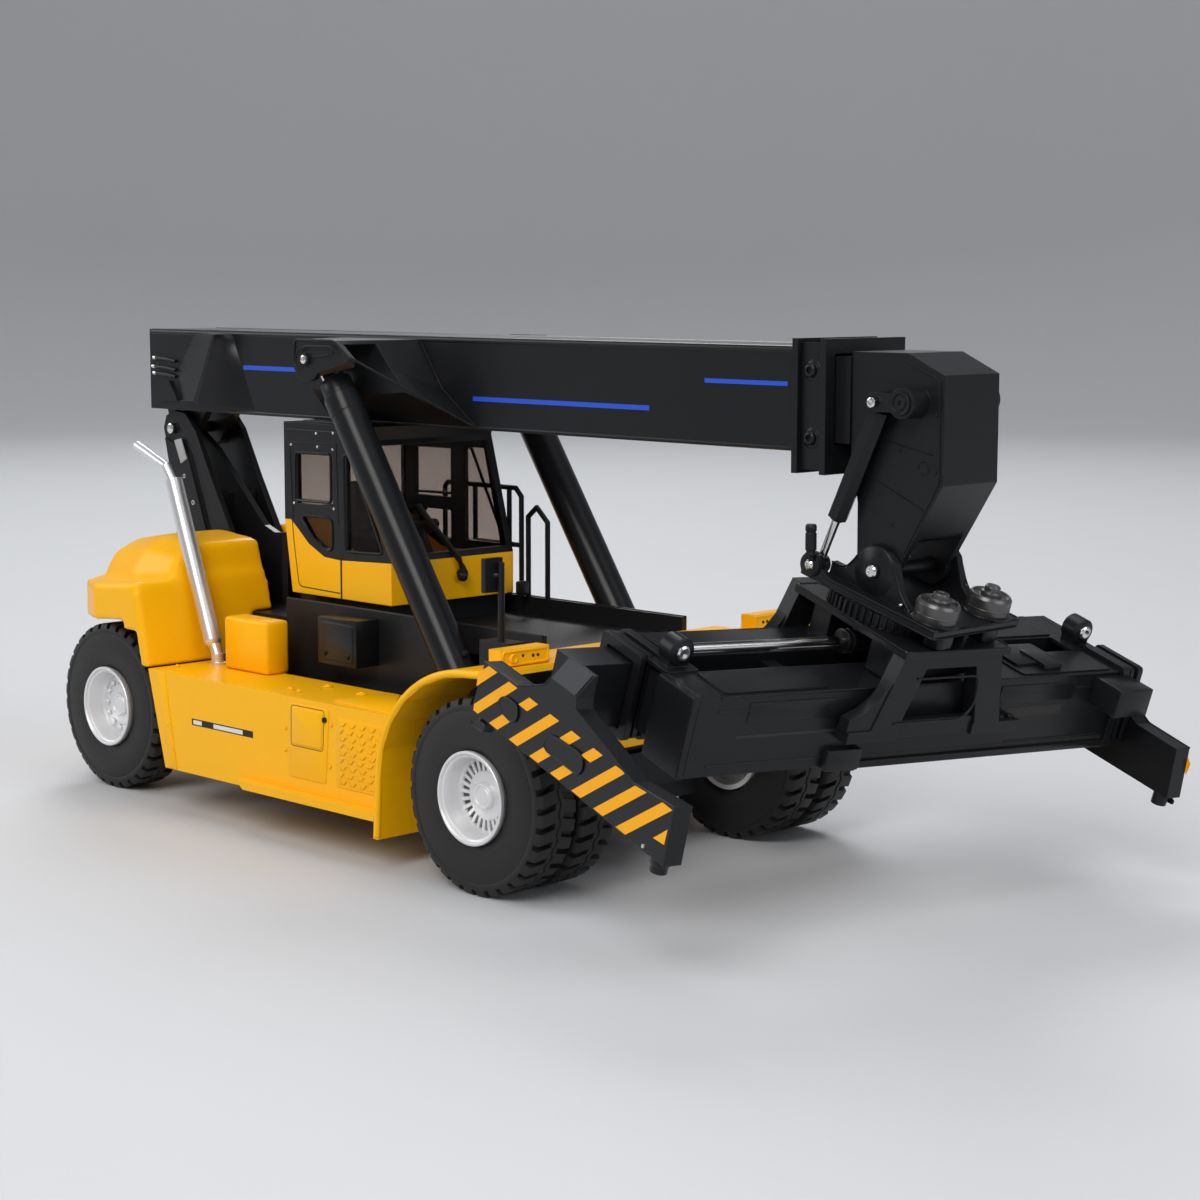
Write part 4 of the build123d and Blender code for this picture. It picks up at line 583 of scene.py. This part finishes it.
cab = Piece("cab_front_fittings", "chassis", BLACK, "black_paint", bevel=0.15, smooth=50)
cab.plate(soft([(10.9, 59.2), (15.2, 59.2), (15.4, 67.4), (10.7, 67.4)], 0.9), "x", -68.9, -67.2)
cab.plate(soft([(-81.0, 17.4), (-77.0, 17.4), (-77.0, 20.6), (-81.0, 20.6)], 0.8), "z", 57.4, 58.2)
cab.plate(soft([(19.4, 57.0), (22.6, 57.0), (22.6, 60.8), (19.4, 60.8)], 0.8), "x", -66.2, -64.4)
cab.tube([(-71.9, -9.3, 82.0), (-68.0, 3.2, 65.2), (-66.9, 1.8, 63.2)], 0.55, 10)
cab.turned([(0, 1.4), (1.2, 1.4), (1.6, 1.0), (1.6, 0.01)], (-68.3, 1.9, 63.4), (1, 0, 0.1), 20)
cab.done()
# seat, steering wheel, column, arm rests and levers behind the glass
inside = Piece("cab_interior", "chassis", PLASTIC, "grey_plastic", bevel=0.25, smooth=50)
SEAT = [(-105.5, 68.4), (-92.8, 68.0), (-92.6, 71.2), (-101.0, 71.6), (-104.4, 86.6), (-107.2, 86.2)]
inside.rings([[(x, y, z) for x, z in SEAT] for y in (-4.9, -4.2, 4.2, 4.9)])
turns = [ROUND * k / 16 for k in range(16)]
inside.tube([(-84.6 + 3.0 * math.cos(a), 3.6 * math.sin(a), 79.6 + 2.0 * math.cos(a)) for a in turns],
            0.35, 8, 0.6, closed=True)
inside.rod((-81.6, 0, 74.0), (-84.6, 0, 79.6), 0.6, 10)
for y in (-7.4, 7.4):
    inside.box(-100.0, -92.0, y - 1.1, y + 1.1, 72.4, 74.2)
    inside.rod((-94.0, y, 74.0), (-93.0, y, 78.6), 0.4, 8)
inside.done()

# ---------------------------------------------------------------- mast
MAST_Y = span("mast")[0].y
fix = Piece("mast_bolts", "chassis", CHROME, "polished_steel")
for x, z, r in ((-175.0, 84.2, 0.75), (-170.9, 76.8, 0.85), (-164.4, 61.0, 0.85)):
    fix.bolt((x, MAST_Y + 1.0, z), (0, -1, 0), r, 1.2)
fix.bolt((-181.0, MAST_Y - 0.1, 97.7), (0, -1, 0), 1.5, 0.6, 24)
fix.mirror()
fix.done()
plate = Piece("mast_label", "chassis", LABEL, "silver_paint", bevel=0.08)
plate.plate([(-179.7, 94.3), (-176.3, 95.0), (-173.6, 89.3), (-176.6, 87.7)], "y",
            MAST_Y - 0.12, MAST_Y + 0.2)
plate.mirror()
plate.done()

# ---------------------------------------------------------------- boom
BOOM_Y = 12.0
TOP_Z, BASE_Z = 126.2, 103.4
BRACKET_TOP = TOP_Z - 0.8
LIFT_X, LIFT_TOP_Z = -83.0, 120.5       # the lift cylinders' upper pin
REAR_PIPES = ((-184.8, 118.1), (-185.4, 115.6), (-184.9, 113.7))
beads = Piece("boom_edges", "boom", BLACK, "black_paint", smooth=60)
beads.rod((-187.4, -11.2, TOP_Z - 0.85), (58.9, -11.2, TOP_Z - 0.85), 1.0, 16)
beads.rod((-150.0, -11.5, BASE_Z + 0.45), (58.9, -11.5, BASE_Z + 0.45), 0.62, 12)
# thin rims on the lift brackets; the last run of the longest one crosses open air
beads.tube([(-85.6, -37.45, 118.0), (-86.6, -37.45, 120.6), (-85.2, -37.45, 123.0), (-82.4, -37.45, 123.9),
            (-72.4, -37.45, 124.0), (-71.2, -37.45, 123.4), (-71.4, -37.45, 122.2)], 0.22, 8, 1.2)
beads.tube([(-79.6, -37.45, 121.3), (-73.2, -37.45, 121.9)], 0.15, 6)
beads.tube([(-88.0, -36.7, 119.9), (-87.5, -36.7, BRACKET_TOP), (-71.6, -36.7, BRACKET_TOP),
            (-65.7, -36.7, 121.4), (-46.2, -12.5, BASE_Z + 0.5)], 0.3, 8, 1.2)
beads.tube([(-67.4, -12.4, BRACKET_TOP), (-58.8, -12.4, 113.2), (-46.0, -12.3, BASE_Z + 0.6)], 0.15, 6, 1.0)
# a flange plate on each side of the boom's front end, with two large bolts
for x, z in ((63.8, 121.1), (63.8, 106.4)):
    beads.turned([(0, 2.3), (0.35, 2.3), (0.5, 2.1)], (x, -BOOM_Y, z), (0, -1, 0), 24)
    beads.bolt((x, -BOOM_Y - 0.3, z), (0, -1, 0), 1.55, 1.3, 24)
beads.box(60.9, 66.7, -12.35, -11.9, 99.4, 127.2)
# hydraulic pipes and a three-cornered plate at the rear end
for x, z in REAR_PIPES:
    beads.tube([(x, -12.6, z), (-178.0, -12.6, z - 0.4), (-174.7, -12.4, z - 0.9)], 0.5, 10)
beads.plate(soft([(-177.9, 112.0), (-173.6, 106.0), (-182.5, 105.7)], 0.8), "y", -12.9, -11.9)
beads.mirror()
beads.done()
heads = Piece("boom_pin_heads", "boom", CHROME, "polished_steel")
heads.turned([(0, 1.15), (0.35, 1.1), (0.5, 0.85), (0.5, 0.45), (0.3, 0.4), (0.3, 0.01)],
             (LIFT_X, -37.4, LIFT_TOP_Z), (0, -1, 0), 24)
for x, z in REAR_PIPES:
    heads.rod((x - 0.6, -12.6, z), (x + 0.7, -12.6, z - 0.06), 0.56, 12, 0.12)
heads.mirror()
heads.done()
lines = Piece("boom_blue_lines", "boom", BLUE, "black_paint")
for x0, x1, z0, z1 in ((-143.0, -97.5, 115.7, 116.9), (-47.5, 14.0, 110.45, 111.6),
                       (31.5, 56.4, 117.45, 118.45)):
    lines.plate([(x0, z0), (x1, z0), (x1, z1), (x0, z1)], "y", -BOOM_Y - 0.06, -BOOM_Y + 0.02)
lines.mirror()
lines.done()

# ---------------------------------------------------------------- boom head
DAMPER_X, DAMPER_Z = 83.2, 114.95       # the dampers' upper pin
head = Piece("boom_head_fittings", "boom_section", BLACK, "black_paint", smooth=50)
head.turned([(0, 2.5), (0.4, 2.5), (0.4, 2.05), (0.15, 2.0), (0.15, 1.35), (0.45, 1.3), (0.45, 0.6),
             (0.1, 0.5)], (DAMPER_X + 7.3, -15.1, DAMPER_Z), (0, -1, 0), 32)
head.tube([(86.6, -9.6, 124.0), (96.4, -9.6, 119.8), (96.6, -9.6, 98.4), (87.4, -9.6, 82.6)], 0.2, 8, 1.0)
head.tube([(75.6, -9.6, 108.0), (94.8, -9.6, 104.0)], 0.14, 6)
head.tube([(76.0, -9.6, 99.6), (92.6, -9.6, 92.2)], 0.14, 6)
head.turned([(0, 1.6), (0.12, 1.6), (0.12, 1.3), (0.03, 1.25), (0.03, 0.01)], (92.4, -9.5, 101.2),
            (0, -1, 0), 24)
for x, z in ((78.2, 106.6), (86.0, 104.6), (95.6, 112.5), (95.6, 100.4), (84.0, 88.6)):
    head.turned([(0, 0.4), (0.2, 0.35), (0.2, 0.01)], (x, -9.5, z), (0, -1, 0), 10)
head.mirror()
head.done()
pins = Piece("head_pin_heads", "boom_section", CHROME, "polished_steel")
pins.turned([(0, 1.1), (0.3, 1.1), (0.45, 0.8), (0.45, 0.4), (0.3, 0.01)],
            (DAMPER_X, -15.85, DAMPER_Z), (0, -1, 0), 24)
pins.mirror()
pins.done()

# ---------------------------------------------------------------- lift cylinders and dampers
DAMPER_RUN = Vector((-0.42607, 0, -0.90469))
for name, s in (("right", -1), ("left", 1)):
    y = s * 30.5
    base, top = Vector((-26.6, y, 36.0)), Vector((LIFT_X, y, LIFT_TOP_Z))
    run = (top - base).normalized()
    gland = (top - base).length - 11.0
    collar = Piece(f"lift_gland_{name}", f"lift_cylinder_{name}", BLACK, "black_paint", smooth=40)
    collar.turned([(gland - 5.6, 4.45), (gland - 5.4, 4.62), (gland - 0.4, 4.62), (gland - 0.1, 4.3),
                   (gland - 0.1, 4.12), (gland + 3.9, 4.12), (gland + 4.4, 3.8), (gland + 4.4, 3.05)],
                  base, run, 40)
    collar.turned([(8.6, 4.5), (8.8, 4.72), (10.4, 4.72), (10.6, 4.5)], base, run, 40)
    collar.turned([(0, 0.9), (1.4, 0.9), (1.4, 0.6), (2.0, 0.55)],
                  base + run * 14 + Vector((3.4, 0, 2.2)), (0.83, 0, 0.55), 12)
    collar.done()
    damper = Piece(f"damper_rings_{name}", f"damper_{name}", BLACK, "black_paint", smooth=40)
    eye = Vector((DAMPER_X, s * 12.1, DAMPER_Z))
    damper.turned([(0, 2.32), (1.9, 2.32)], eye + Vector((0, -0.95, 0)), (0, 1, 0), 28)
    damper.turned([(27.6, 1.75), (28.4, 1.75), (28.7, 1.4), (28.7, 0.95)], eye, DAMPER_RUN, 24)
    damper.done()

# ---------------------------------------------------------------- rotator
deck = Piece("rotator_rims", "rotator", BLACK, "black_paint", place=ROTATOR, smooth=50)
DECK_OUTLINE = [(-11.6, -15.0), (21.5, -15.0), (21.5, 15.0), (-11.6, 15.0)]
for z in (-5.05, -6.65):
    deck.outline(DECK_OUTLINE, "z", z, 0.28, 1.2)
CHEEK_IN, CHEEK_OUT = 9.85, 11.75
deck.turned([(0, 5.3), (0.2, 5.5), (CHEEK_OUT - CHEEK_IN - 0.25, 5.5), (CHEEK_OUT - CHEEK_IN, 5.25)],
            (0, -CHEEK_IN, 0), (0, -1, 0), 48)
deck.outline([(12.0, -5.0), (8.0, -2.0), (5.4, 2.0)], "y", -CHEEK_OUT, 0.2, 2.0, closed=False)
deck.outline([(-5.4, 1.4), (-7.5, -2.2), (-11.5, -2.2)], "y", -CHEEK_OUT, 0.2, 2.0, closed=False)
deck.turned([(0, 2.7), (0.5, 2.7), (0.6, 2.4)], (-14.4, -15.0, -3.8), (0, -1, 0), 32)
# pads under the motors
deck.turned([(0, 5.4), (0.35, 5.4), (0.5, 5.2)], (16.6, -9.0, -5.0), (0, 0, 1), 36)
deck.plate(soft([(8.0, -10.6), (13.0, -13.0), (20.6, -13.6), (20.6, -4.6), (11.0, -5.0)], 1.5), "z",
           -5.1, -4.7)
# pinion housing under the deck's front
deck.plate(soft([(15.6, -10.4), (20.4, -10.4), (20.4, -5.2), (15.6, -5.2)], 1.2), "z", -10.2, -6.6)
deck.mirror()
deck.done()
MOTOR_FOOT = (16.6, -9.0, -4.98)
motors = Piece("slew_motor_drums", "rotator", MOTOR, "dark_metal", place=ROTATOR, smooth=24)
motors.turned([(0.02, 4.6), (0.5, 4.8), (3.9, 4.8), (4.55, 4.35), (4.6, 4.1), (4.6, 3.95), (4.1, 3.75),
               (4.1, 2.3)], MOTOR_FOOT, (0, 0, 1), 48)
motors.turned([(3.9, 2.4), (4.9, 2.3), (5.2, 2.0), (5.2, 1.75), (6.1, 1.75), (6.4, 1.45), (6.4, 0.8),
               (6.25, 0.7), (6.25, 0.01)], MOTOR_FOOT, (0, 0, 1), 32)
motors.turned([(1.62, 4.84), (1.8, 4.84)], MOTOR_FOOT, (0, 0, 1), 48)
motors.mirror()
motors.done(replaces=("slew_motors",))
pins = Piece("rotator_pin_heads", "rotator", CHROME, "polished_steel", place=ROTATOR)
pins.turned([(0, 1.45), (0.4, 1.45), (0.75, 1.1), (0.75, 0.6), (0.45, 0.5), (0.45, 0.01)],
            (0, -12.35, 0), (0, -1, 0), 24)
pins.turned([(0, 1.2), (0.3, 1.2), (0.6, 0.8), (0.6, 0.4), (0.4, 0.01)], (-14.4, -15.55, -3.8),
            (0, -1, 0), 24)
pins.bolt((9.4, -12.2, -4.2), (0, 0, 1), 0.5, 0.5)
pins.mirror()
pins.done()
post = Piece("rotator_post", "rotator", BLACK, "black_paint", place=ROTATOR, smooth=40)
foot = Vector((-14.0, -16.3, -1.6))
up = Vector((-0.2874, 0, 0.9578))
post.turned([(0, 0.9), (0.2, 1.25), (0.7, 1.25), (0.8, 1.05), (1.3, 1.05), (1.4, 1.25), (5.0, 1.25),
             (5.1, 1.1), (5.5, 1.1), (5.6, 1.25), (6.6, 1.25), (7.0, 1.0), (7.0, 0.01)], foot, up, 28)
post.box(-15.2, -13.2, -16.4, -14.6, -2.4, -1.4)
post.done()

# ---------------------------------------------------------------- slewing carriage
gear = Piece("ring_gear_teeth", "carriage", BLACK, "black_paint", place=SPREADER, smooth=40)
TEETH = 56
TOOTH_HALF = 0.42
TOOTH = ((14.7, -1), (15.7, -0.8), (15.7, 0.8), (14.7, 1))      # radius and share of the half width
for k in range(TEETH):
    a = ROUND * k / TEETH
    gear.rings([[(r * math.cos(a) - s * TOOTH_HALF * math.sin(a),
                  r * math.sin(a) + s * TOOTH_HALF * math.cos(a), z) for r, s in TOOTH]
                for z in (-10.3, -7.35)])
gear.done()
carriage = Piece("carriage_rims", "carriage", BLACK, "black_paint", place=SPREADER, smooth=50)
carriage.outline([(-17.0, -15.2), (21.5, -15.2), (21.5, 15.2), (-17.0, 15.2)], "z", -10.6, 0.3, 1.5)
for x0, x1, s in ((17.2, 20.2, 1), (-20.2, -17.2, -1)):
    carriage.plate([(-13.3, -12.3), (-15.4, -17.6), (-18.2, -21.8), (-21.6, -24.6), (-25.4, -26.2),
                    (-25.4, -29.0), (-18.0, -29.0)], "x", x0, x1)
    outside = s * 20.2
    carriage.outline([(-9.4, -17.2), (8.8, -17.2), (9.6, -24.0), (7.0, -27.4), (-13.0, -27.4)], "x",
                     outside + s * 0.35, 0.3, 2.0, closed=False)
    for y in (-23.6, -20.8, 20.8, 23.6):
        carriage.bolt((outside - s * 1.6, y, -28.8), (0, 0, 1), 0.8, 0.7)
    carriage.plate([(-11.2, -27.2), (11.2, -27.2), (11.8, -31.2), (-11.8, -31.2)], "x", x0 + 1.0, x1 - 0.4)
carriage.done()
cylinder = Piece("side_shift_rings", "carriage", BLACK, "black_paint", place=SPREADER, smooth=40)
for y in (-14.0, -12.6, 12.4):
    cylinder.turned([(0, 2.45), (0.15, 2.75), (0.95, 2.75), (1.1, 2.45)], (0, y, -17.0), (0, 1, 0), 32)
cylinder.done()

# ---------------------------------------------------------------- spreader
BEAM_X, BEAM_Y = 10.0, 65.0
BEAM_HALF, BEAM_LOW, BEAM_TOP = 6.1, -38.5, -20.7
COLLARS = ((-1.3, 0.2, 1.0), (-3.4, -2.2, 0.7), (-6.4, -4.3, 1.1))      # from and to the beam's end, height


def box_outline(x, half, low, high):
    """The four corners of an upright rectangle round x."""
    return [(x - half, low), (x + half, low), (x + half, high), (x - half, high)]


frame_trim = Piece("spreader_trim", "spreader", BLACK, "black_paint", place=SPREADER, smooth=50)
for side_x in (-1, 1):
    x = side_x * BEAM_X
    for s in (-1, 1):
        if side_x * s > 0:      # the end that an arm slides out of: stacked collars
            for y0, y1, grow in COLLARS:
                collar = soft(box_outline(x, 6.2 + grow, -38.6 - grow * 0.6, -20.6 + grow), 1.2)
                hole = soft(box_outline(x, 4.9, -37.3, -21.9), 0.5)
                low_y, high_y = sorted((s * (BEAM_Y + y0), s * (BEAM_Y + y1)))
                frame_trim.rings([[(a, low_y, b) for a, b in collar], [(a, high_y, b) for a, b in collar],
                                  [(a, high_y, b) for a, b in hole], [(a, low_y, b) for a, b in hole]],
                                 closed=True)
        else:                   # the other end: a cap
            section = box_outline(x, BEAM_HALF, BEAM_LOW, BEAM_TOP)
            frame_trim.plate(soft(section, 0.8), "y", *sorted((s * (BEAM_Y - 0.6), s * (BEAM_Y + 0.15))))
            frame_trim.outline(section, "y", s * (BEAM_Y - 1.8), 0.26, 0.8)
        # a cover plate on the beam's top and two beads along its outer side
        cover = [(x - 5.2, s * 28.5), (x + 5.2, s * 28.5), (x + 5.2, s * 56.5), (x - 5.2, s * 56.5)]
        frame_trim.plate(soft(cover, 1.0), "z", BEAM_TOP, -20.25)
        outer = x + side_x * 6.12
        for z in (-24.0, -36.2):
            frame_trim.tube([(outer, s * 27.0, z), (outer, s * 58.0, z)], 0.3, 8)
    edge_x = x + side_x * BEAM_HALF
    frame_trim.rod((edge_x, -58.0, -20.8), (edge_x, 58.0, -20.8), 0.32, 10)
frame_trim.done()
eyes = Piece("side_shift_eyes", "spreader", BLACK, "black_paint", place=SPREADER, smooth=40)
EYE_Z = -16.9
EYES_Y = (-59.0, 59.0)
for y in EYES_Y:
    eyes.turned([(0, 2.6), (0.4, 3.1), (4.4, 3.1), (4.8, 2.6)], (-2.4, y, EYE_Z), (1, 0, 0), 32)
    eyes.plate([(-1.8, y - 2.6), (1.8, y - 2.6), (1.8, y + 2.6), (-1.8, y + 2.6)], "z", -21.0, EYE_Z)
    eyes.plate(soft([(-4.0, y - 4.2), (4.0, y - 4.2), (4.0, y + 4.2), (-4.0, y + 4.2)], 1.0), "z",
               -21.2, -20.3)
eyes.done()
studs = Piece("side_shift_pin_heads", "spreader", CHROME, "polished_steel", place=SPREADER)
for y in EYES_Y:
    studs.turned([(0, 1.7), (0.4, 1.7), (0.7, 1.3), (0.7, 0.6), (0.4, 0.01)], (2.4, y, EYE_Z), (1, 0, 0), 24)
studs.done()
box = Piece("spreader_junction_box", "spreader", BLACK, "black_paint", place=SPREADER, bevel=0.35, smooth=50)
box.box(15.9, 24.8, 50.8, 61.4, -28.2, -21.4)
box.done()
fit = Piece("spreader_front_fittings", "spreader", BLACK, "black_paint", place=SPREADER, bevel=0.12,
            smooth=50)
fit.plate(soft([(-50.0, -27.0), (-22.0, -27.0), (-22.0, -22.4), (-50.0, -22.4)], 0.6), "x", 15.9, 16.42)
fit.plate(soft([(21.5, -26.8), (45.0, -26.8), (45.0, -22.4), (21.5, -22.4)], 0.6), "x", 15.9, 16.42)
fit.plate(soft([(-17.0, -39.2), (64.0, -39.2), (64.0, -37.6), (-17.0, -37.6)], 0.3), "x", 16.0, 17.2)
fit.plate(soft([(-26.6, -39.2), (-17.0, -39.2), (-17.0, -34.2), (-26.6, -34.2)], 0.8), "x", 16.0, 17.8)
fit.plate(soft([(0.8, 30.0), (11.0, 30.0), (11.0, 44.0), (0.8, 44.0)], 0.6), "z", -20.6, -19.6)
fit.plate(soft([(5.0, 36.0), (14.0, 36.0), (14.0, 41.5), (5.0, 41.5)], 0.5), "z", -20.6, -18.9)
fit.done()
grooves = Piece("spreader_grooves", "spreader", SEAM, "black_paint", place=SPREADER)
for y0, y1, z0, z1 in ((-51.9, -21.5, -30.4, -29.7), (24.8, 42.2, -30.2, -27.9), (-17.0, 64.0, -37.5, -36.6)):
    grooves.plate(soft([(y0, z0), (y1, z0), (y1, z1), (y0, z1)], 0.3), "x", 15.95, 16.26)
grooves.done()


def clipped(polygon, point, normal):
    """The part of a flat polygon on the inner side of a line."""
    def depth(p):
        return (p[0] - point[0]) * normal[0] + (p[1] - point[1]) * normal[1]
    kept = []
    for a, b in zip(polygon, polygon[1:] + polygon[:1]):
        da, db = depth(a), depth(b)
        if da >= 0:
            kept.append(a)
        if (da >= 0) != (db >= 0):
            t = da / (da - db)
            kept.append((a[0] + (b[0] - a[0]) * t, a[1] + (b[1] - a[1]) * t))
    return kept


# one point and the inward direction of each edge that cuts a stripe short
ARM_EDGES = [((38.2, -40.0), (-1.0, 0.0)), ((-33.7, -40.0), (1.0, 0.12)), ((0.0, -44.75), (0.0, 1.0)),
             ((0.0, -33.3), (0.0, -1.0))]
ARM_SLOPE = ((24.5, -34.0), (0.10, -1.0))       # cuts only the stripes from x = 20 on
STRIPE_PITCH = 8.13
STRIPE_W = 3.45
STRIPE_LEAN = 12.4
# the stripes that the raised plates interrupt: top and bottom of the gap
STRIPE_GAPS = {-1: (-36.3, -40.3), 1: (-36.5, -40.3), 2: (-36.5, -40.3)}
OVALS = [
    [(-32.4, -47.6), (-32.6, -46.7), (-29.7, -45.7), (-27.0, -45.5), (-27.7, -47.1), (-29.6, -47.7)],
    [(-24.6, -38.6), (-23.6, -37.2), (-21.3, -36.4), (-18.0, -36.5), (-16.8, -38.2), (-17.3, -40.2),
     (-19.1, -40.8), (-22.8, -40.3)],
    [(-6.2, -40.1), (-5.2, -37.4), (-2.7, -36.7), (6.2, -36.0), (8.0, -37.3), (8.0, -39.4),
     (6.9, -40.7), (-4.6, -40.9)],
]
UPPER_RIMS = (((1.6, -28.7), (24.5, -34.0), (38.1, -32.6)),
              ((-32.6, -33.1), (-19.4, -32.8), (-10.3, -28.5), (-9.0, -26.3)))
for name, turn, s, out in (("arm_right", 1, -1, 82.5), ("arm_left", -1, 1, 69.9)):
    face = s * out
    stripes = Piece(f"{name}_stripes", name, HAZARD, "yellow_paint", place=SPREADER)
    shapes = []
    for k in range(-3, 6):
        x = -6.1 + STRIPE_PITCH * k
        quad = [(x, -33.0), (x + STRIPE_W, -33.0), (x + STRIPE_W - STRIPE_LEAN, -44.7),
                (x - STRIPE_LEAN, -44.7)]
        for point, normal in ARM_EDGES if x < 20 else [ARM_SLOPE] + ARM_EDGES:
            quad = clipped(quad, point, normal)
        parts = [quad]
        if k in STRIPE_GAPS:
            gap_top, gap_low = STRIPE_GAPS[k]
            parts = [clipped(quad, (0, gap_top), (0, 1.0)), clipped(quad, (0, gap_low), (0, -1.0))]
        shapes += [p for p in parts if len(p) > 2]
    shapes.append([(34.0, -41.1), (37.6, -37.5), (37.6, -40.8)])
    for shape in shapes:
        stripes.plate([(turn * a, b) for a, b in shape], "y", *sorted((face - s * 0.02, face + s * 0.07)))
    stripes.done()
    badge = Piece(f"{name}_raised_plates", name, BLACK, "black_paint", place=SPREADER, smooth=50)
    for oval in OVALS:
        turned = [(turn * a, b) for a, b in oval]
        badge.plate(soft(turned, 1.2), "y", *sorted((face - s * 0.1, face + s * 0.35)))
        badge.outline(turned, "y", face + s * 0.3, 0.17, 1.2)
    for points in UPPER_RIMS:
        badge.tube([(turn * a, face, b) for a, b in points], 0.22, 8, 0.8)
    badge.turned([(0, 2.1), (1.4, 2.1), (1.8, 1.7), (3.0, 1.5), (3.0, 0.01)],
                 (turn * 35.2, face - s * 2.2, -44.9), (0, 0, -1), 24)
    badge.done()
    grip = Piece(f"{name}_grip", name, GRIP, "black_paint", place=SPREADER)
    x0, x1 = sorted((turn * -8.4, turn * 0.4))
    run = [(face - s * 0.05, -26.2), (face - s * 3.4, -21.85)]
    lift = [(face + s * 0.13, -26.07), (face - s * 3.22, -21.72)]
    grip.rings([[(x0, a, b) for a, b in run + lift[::-1]], [(x1, a, b) for a, b in run + lift[::-1]]])
    grip.done()
    studs = Piece(f"{name}_studs", name, CHROME, "polished_steel", place=SPREADER)
    studs.turned([(0, 0.5), (0.4, 0.4), (0.5, 0.01)], (turn * 31.8, face, -44.0), (0, s, 0), 12)
    studs.done()


# ---------------------------------------------------------------- stage, light and camera
CAMERA_AT = (413.858, -421.921, 140.837)
CAMERA_LOOK = (-0.70638, 0.69589, -0.12948)
CAMERA_ROLL = 0.0012
SENSOR = 36.0
PHOTO_W, FOCAL_PIXELS = 1200, 2462.84
LENS = FOCAL_PIXELS * SENSOR / PHOTO_W

camera = bpy.data.objects.new("camera", bpy.data.cameras.new("camera"))
bpy.context.scene.collection.objects.link(camera)
camera.data.sensor_width = SENSOR
camera.data.lens = LENS
camera.data.clip_start = 0.01
camera.data.clip_end = 20.0
camera.matrix_world = (Matrix.Translation(MACHINE @ Vector(CAMERA_AT))
                       @ Vector(CAMERA_LOOK).to_track_quat("-Z", "Y").to_matrix().to_4x4()
                       @ Matrix.Rotation(CAMERA_ROLL, 4, "Z"))
bpy.context.scene.camera = camera


FLOOR_R, CURVE_R, WALL_R, WALL_TOP = 1.7, 0.7, 2.4, 2.6     # metres
FLOOR_DROP = 0.00002        # the floor lies this far under the tyres


def stage_bowl():
    """A round studio floor that turns up into a pale wall on every side."""
    profile = [(FLOOR_R, 0.0)]
    for k in range(1, 9):
        a = math.radians(90 * k / 8)
        profile.append((FLOOR_R + CURVE_R * math.sin(a), CURVE_R - CURVE_R * math.cos(a)))
    profile.append((WALL_R, WALL_TOP))
    count = 96
    turns = [ROUND * k / count for k in range(count)]
    work = bmesh.new()
    centre = work.verts.new((0, 0, -FLOOR_DROP))
    rows = []
    for r, z in profile:
        rows.append([work.verts.new((r * math.cos(a), r * math.sin(a), z - FLOOR_DROP)) for a in turns])
    for k in range(count):
        work.faces.new((centre, rows[0][k], rows[0][(k + 1) % count]))
        for a, b in zip(rows, rows[1:]):
            work.faces.new((a[k], b[k], b[(k + 1) % count], a[(k + 1) % count]))
    mesh = bpy.data.meshes.new("stage_floor")
    work.to_mesh(mesh)
    work.free()
    mesh.shade_smooth()
    obj = bpy.data.objects.new("stage_floor", mesh)
    bpy.context.scene.collection.objects.link(obj)
    mesh.materials.append(material("stage_floor", (0.56, 0.57, 0.59), 0.7, spread=0.015, grain=40.0, bump=0.0,
                                   edge=0.0, blotch=3.0))


stage_bowl()

LIGHTS = [  # name, place in metres, size, power, colour
    ("key", (0.55, -1.15, 1.05), 0.9, 15.0, (1.0, 0.98, 0.95)),
    ("fill", (1.35, 0.25, 0.75), 1.1, 7.0, (0.95, 0.97, 1.0)),
    ("back", (-0.95, 0.85, 1.15), 0.8, 10.0, (1.0, 1.0, 1.0)),
    ("top", (0.0, 0.0, 1.5), 1.2, 7.5, (1.0, 1.0, 1.0)),
    ("rear", (-1.2, -0.7, 0.7), 0.9, 5.0, (0.96, 0.98, 1.0)),
]
for name, place, size, power, color in LIGHTS:
    lamp = bpy.data.lights.new(name, "AREA")
    lamp.shape = "DISK"
    lamp.size = size
    lamp.energy = power
    lamp.color = color
    obj = bpy.data.objects.new(name, lamp)
    bpy.context.scene.collection.objects.link(obj)
    obj.location = place
    obj.rotation_euler = (Vector((0, 0, 0.05)) - Vector(place)).to_track_quat("-Z", "Y").to_euler()

world = bpy.data.worlds.new("world")
world.use_nodes = True
world.node_tree.nodes["Background"].inputs[0].default_value = (0.80, 0.82, 0.85, 1)
world.node_tree.nodes["Background"].inputs[1].default_value = 0.24
bpy.context.scene.world = world
bpy.context.scene.view_settings.view_transform = "Standard"
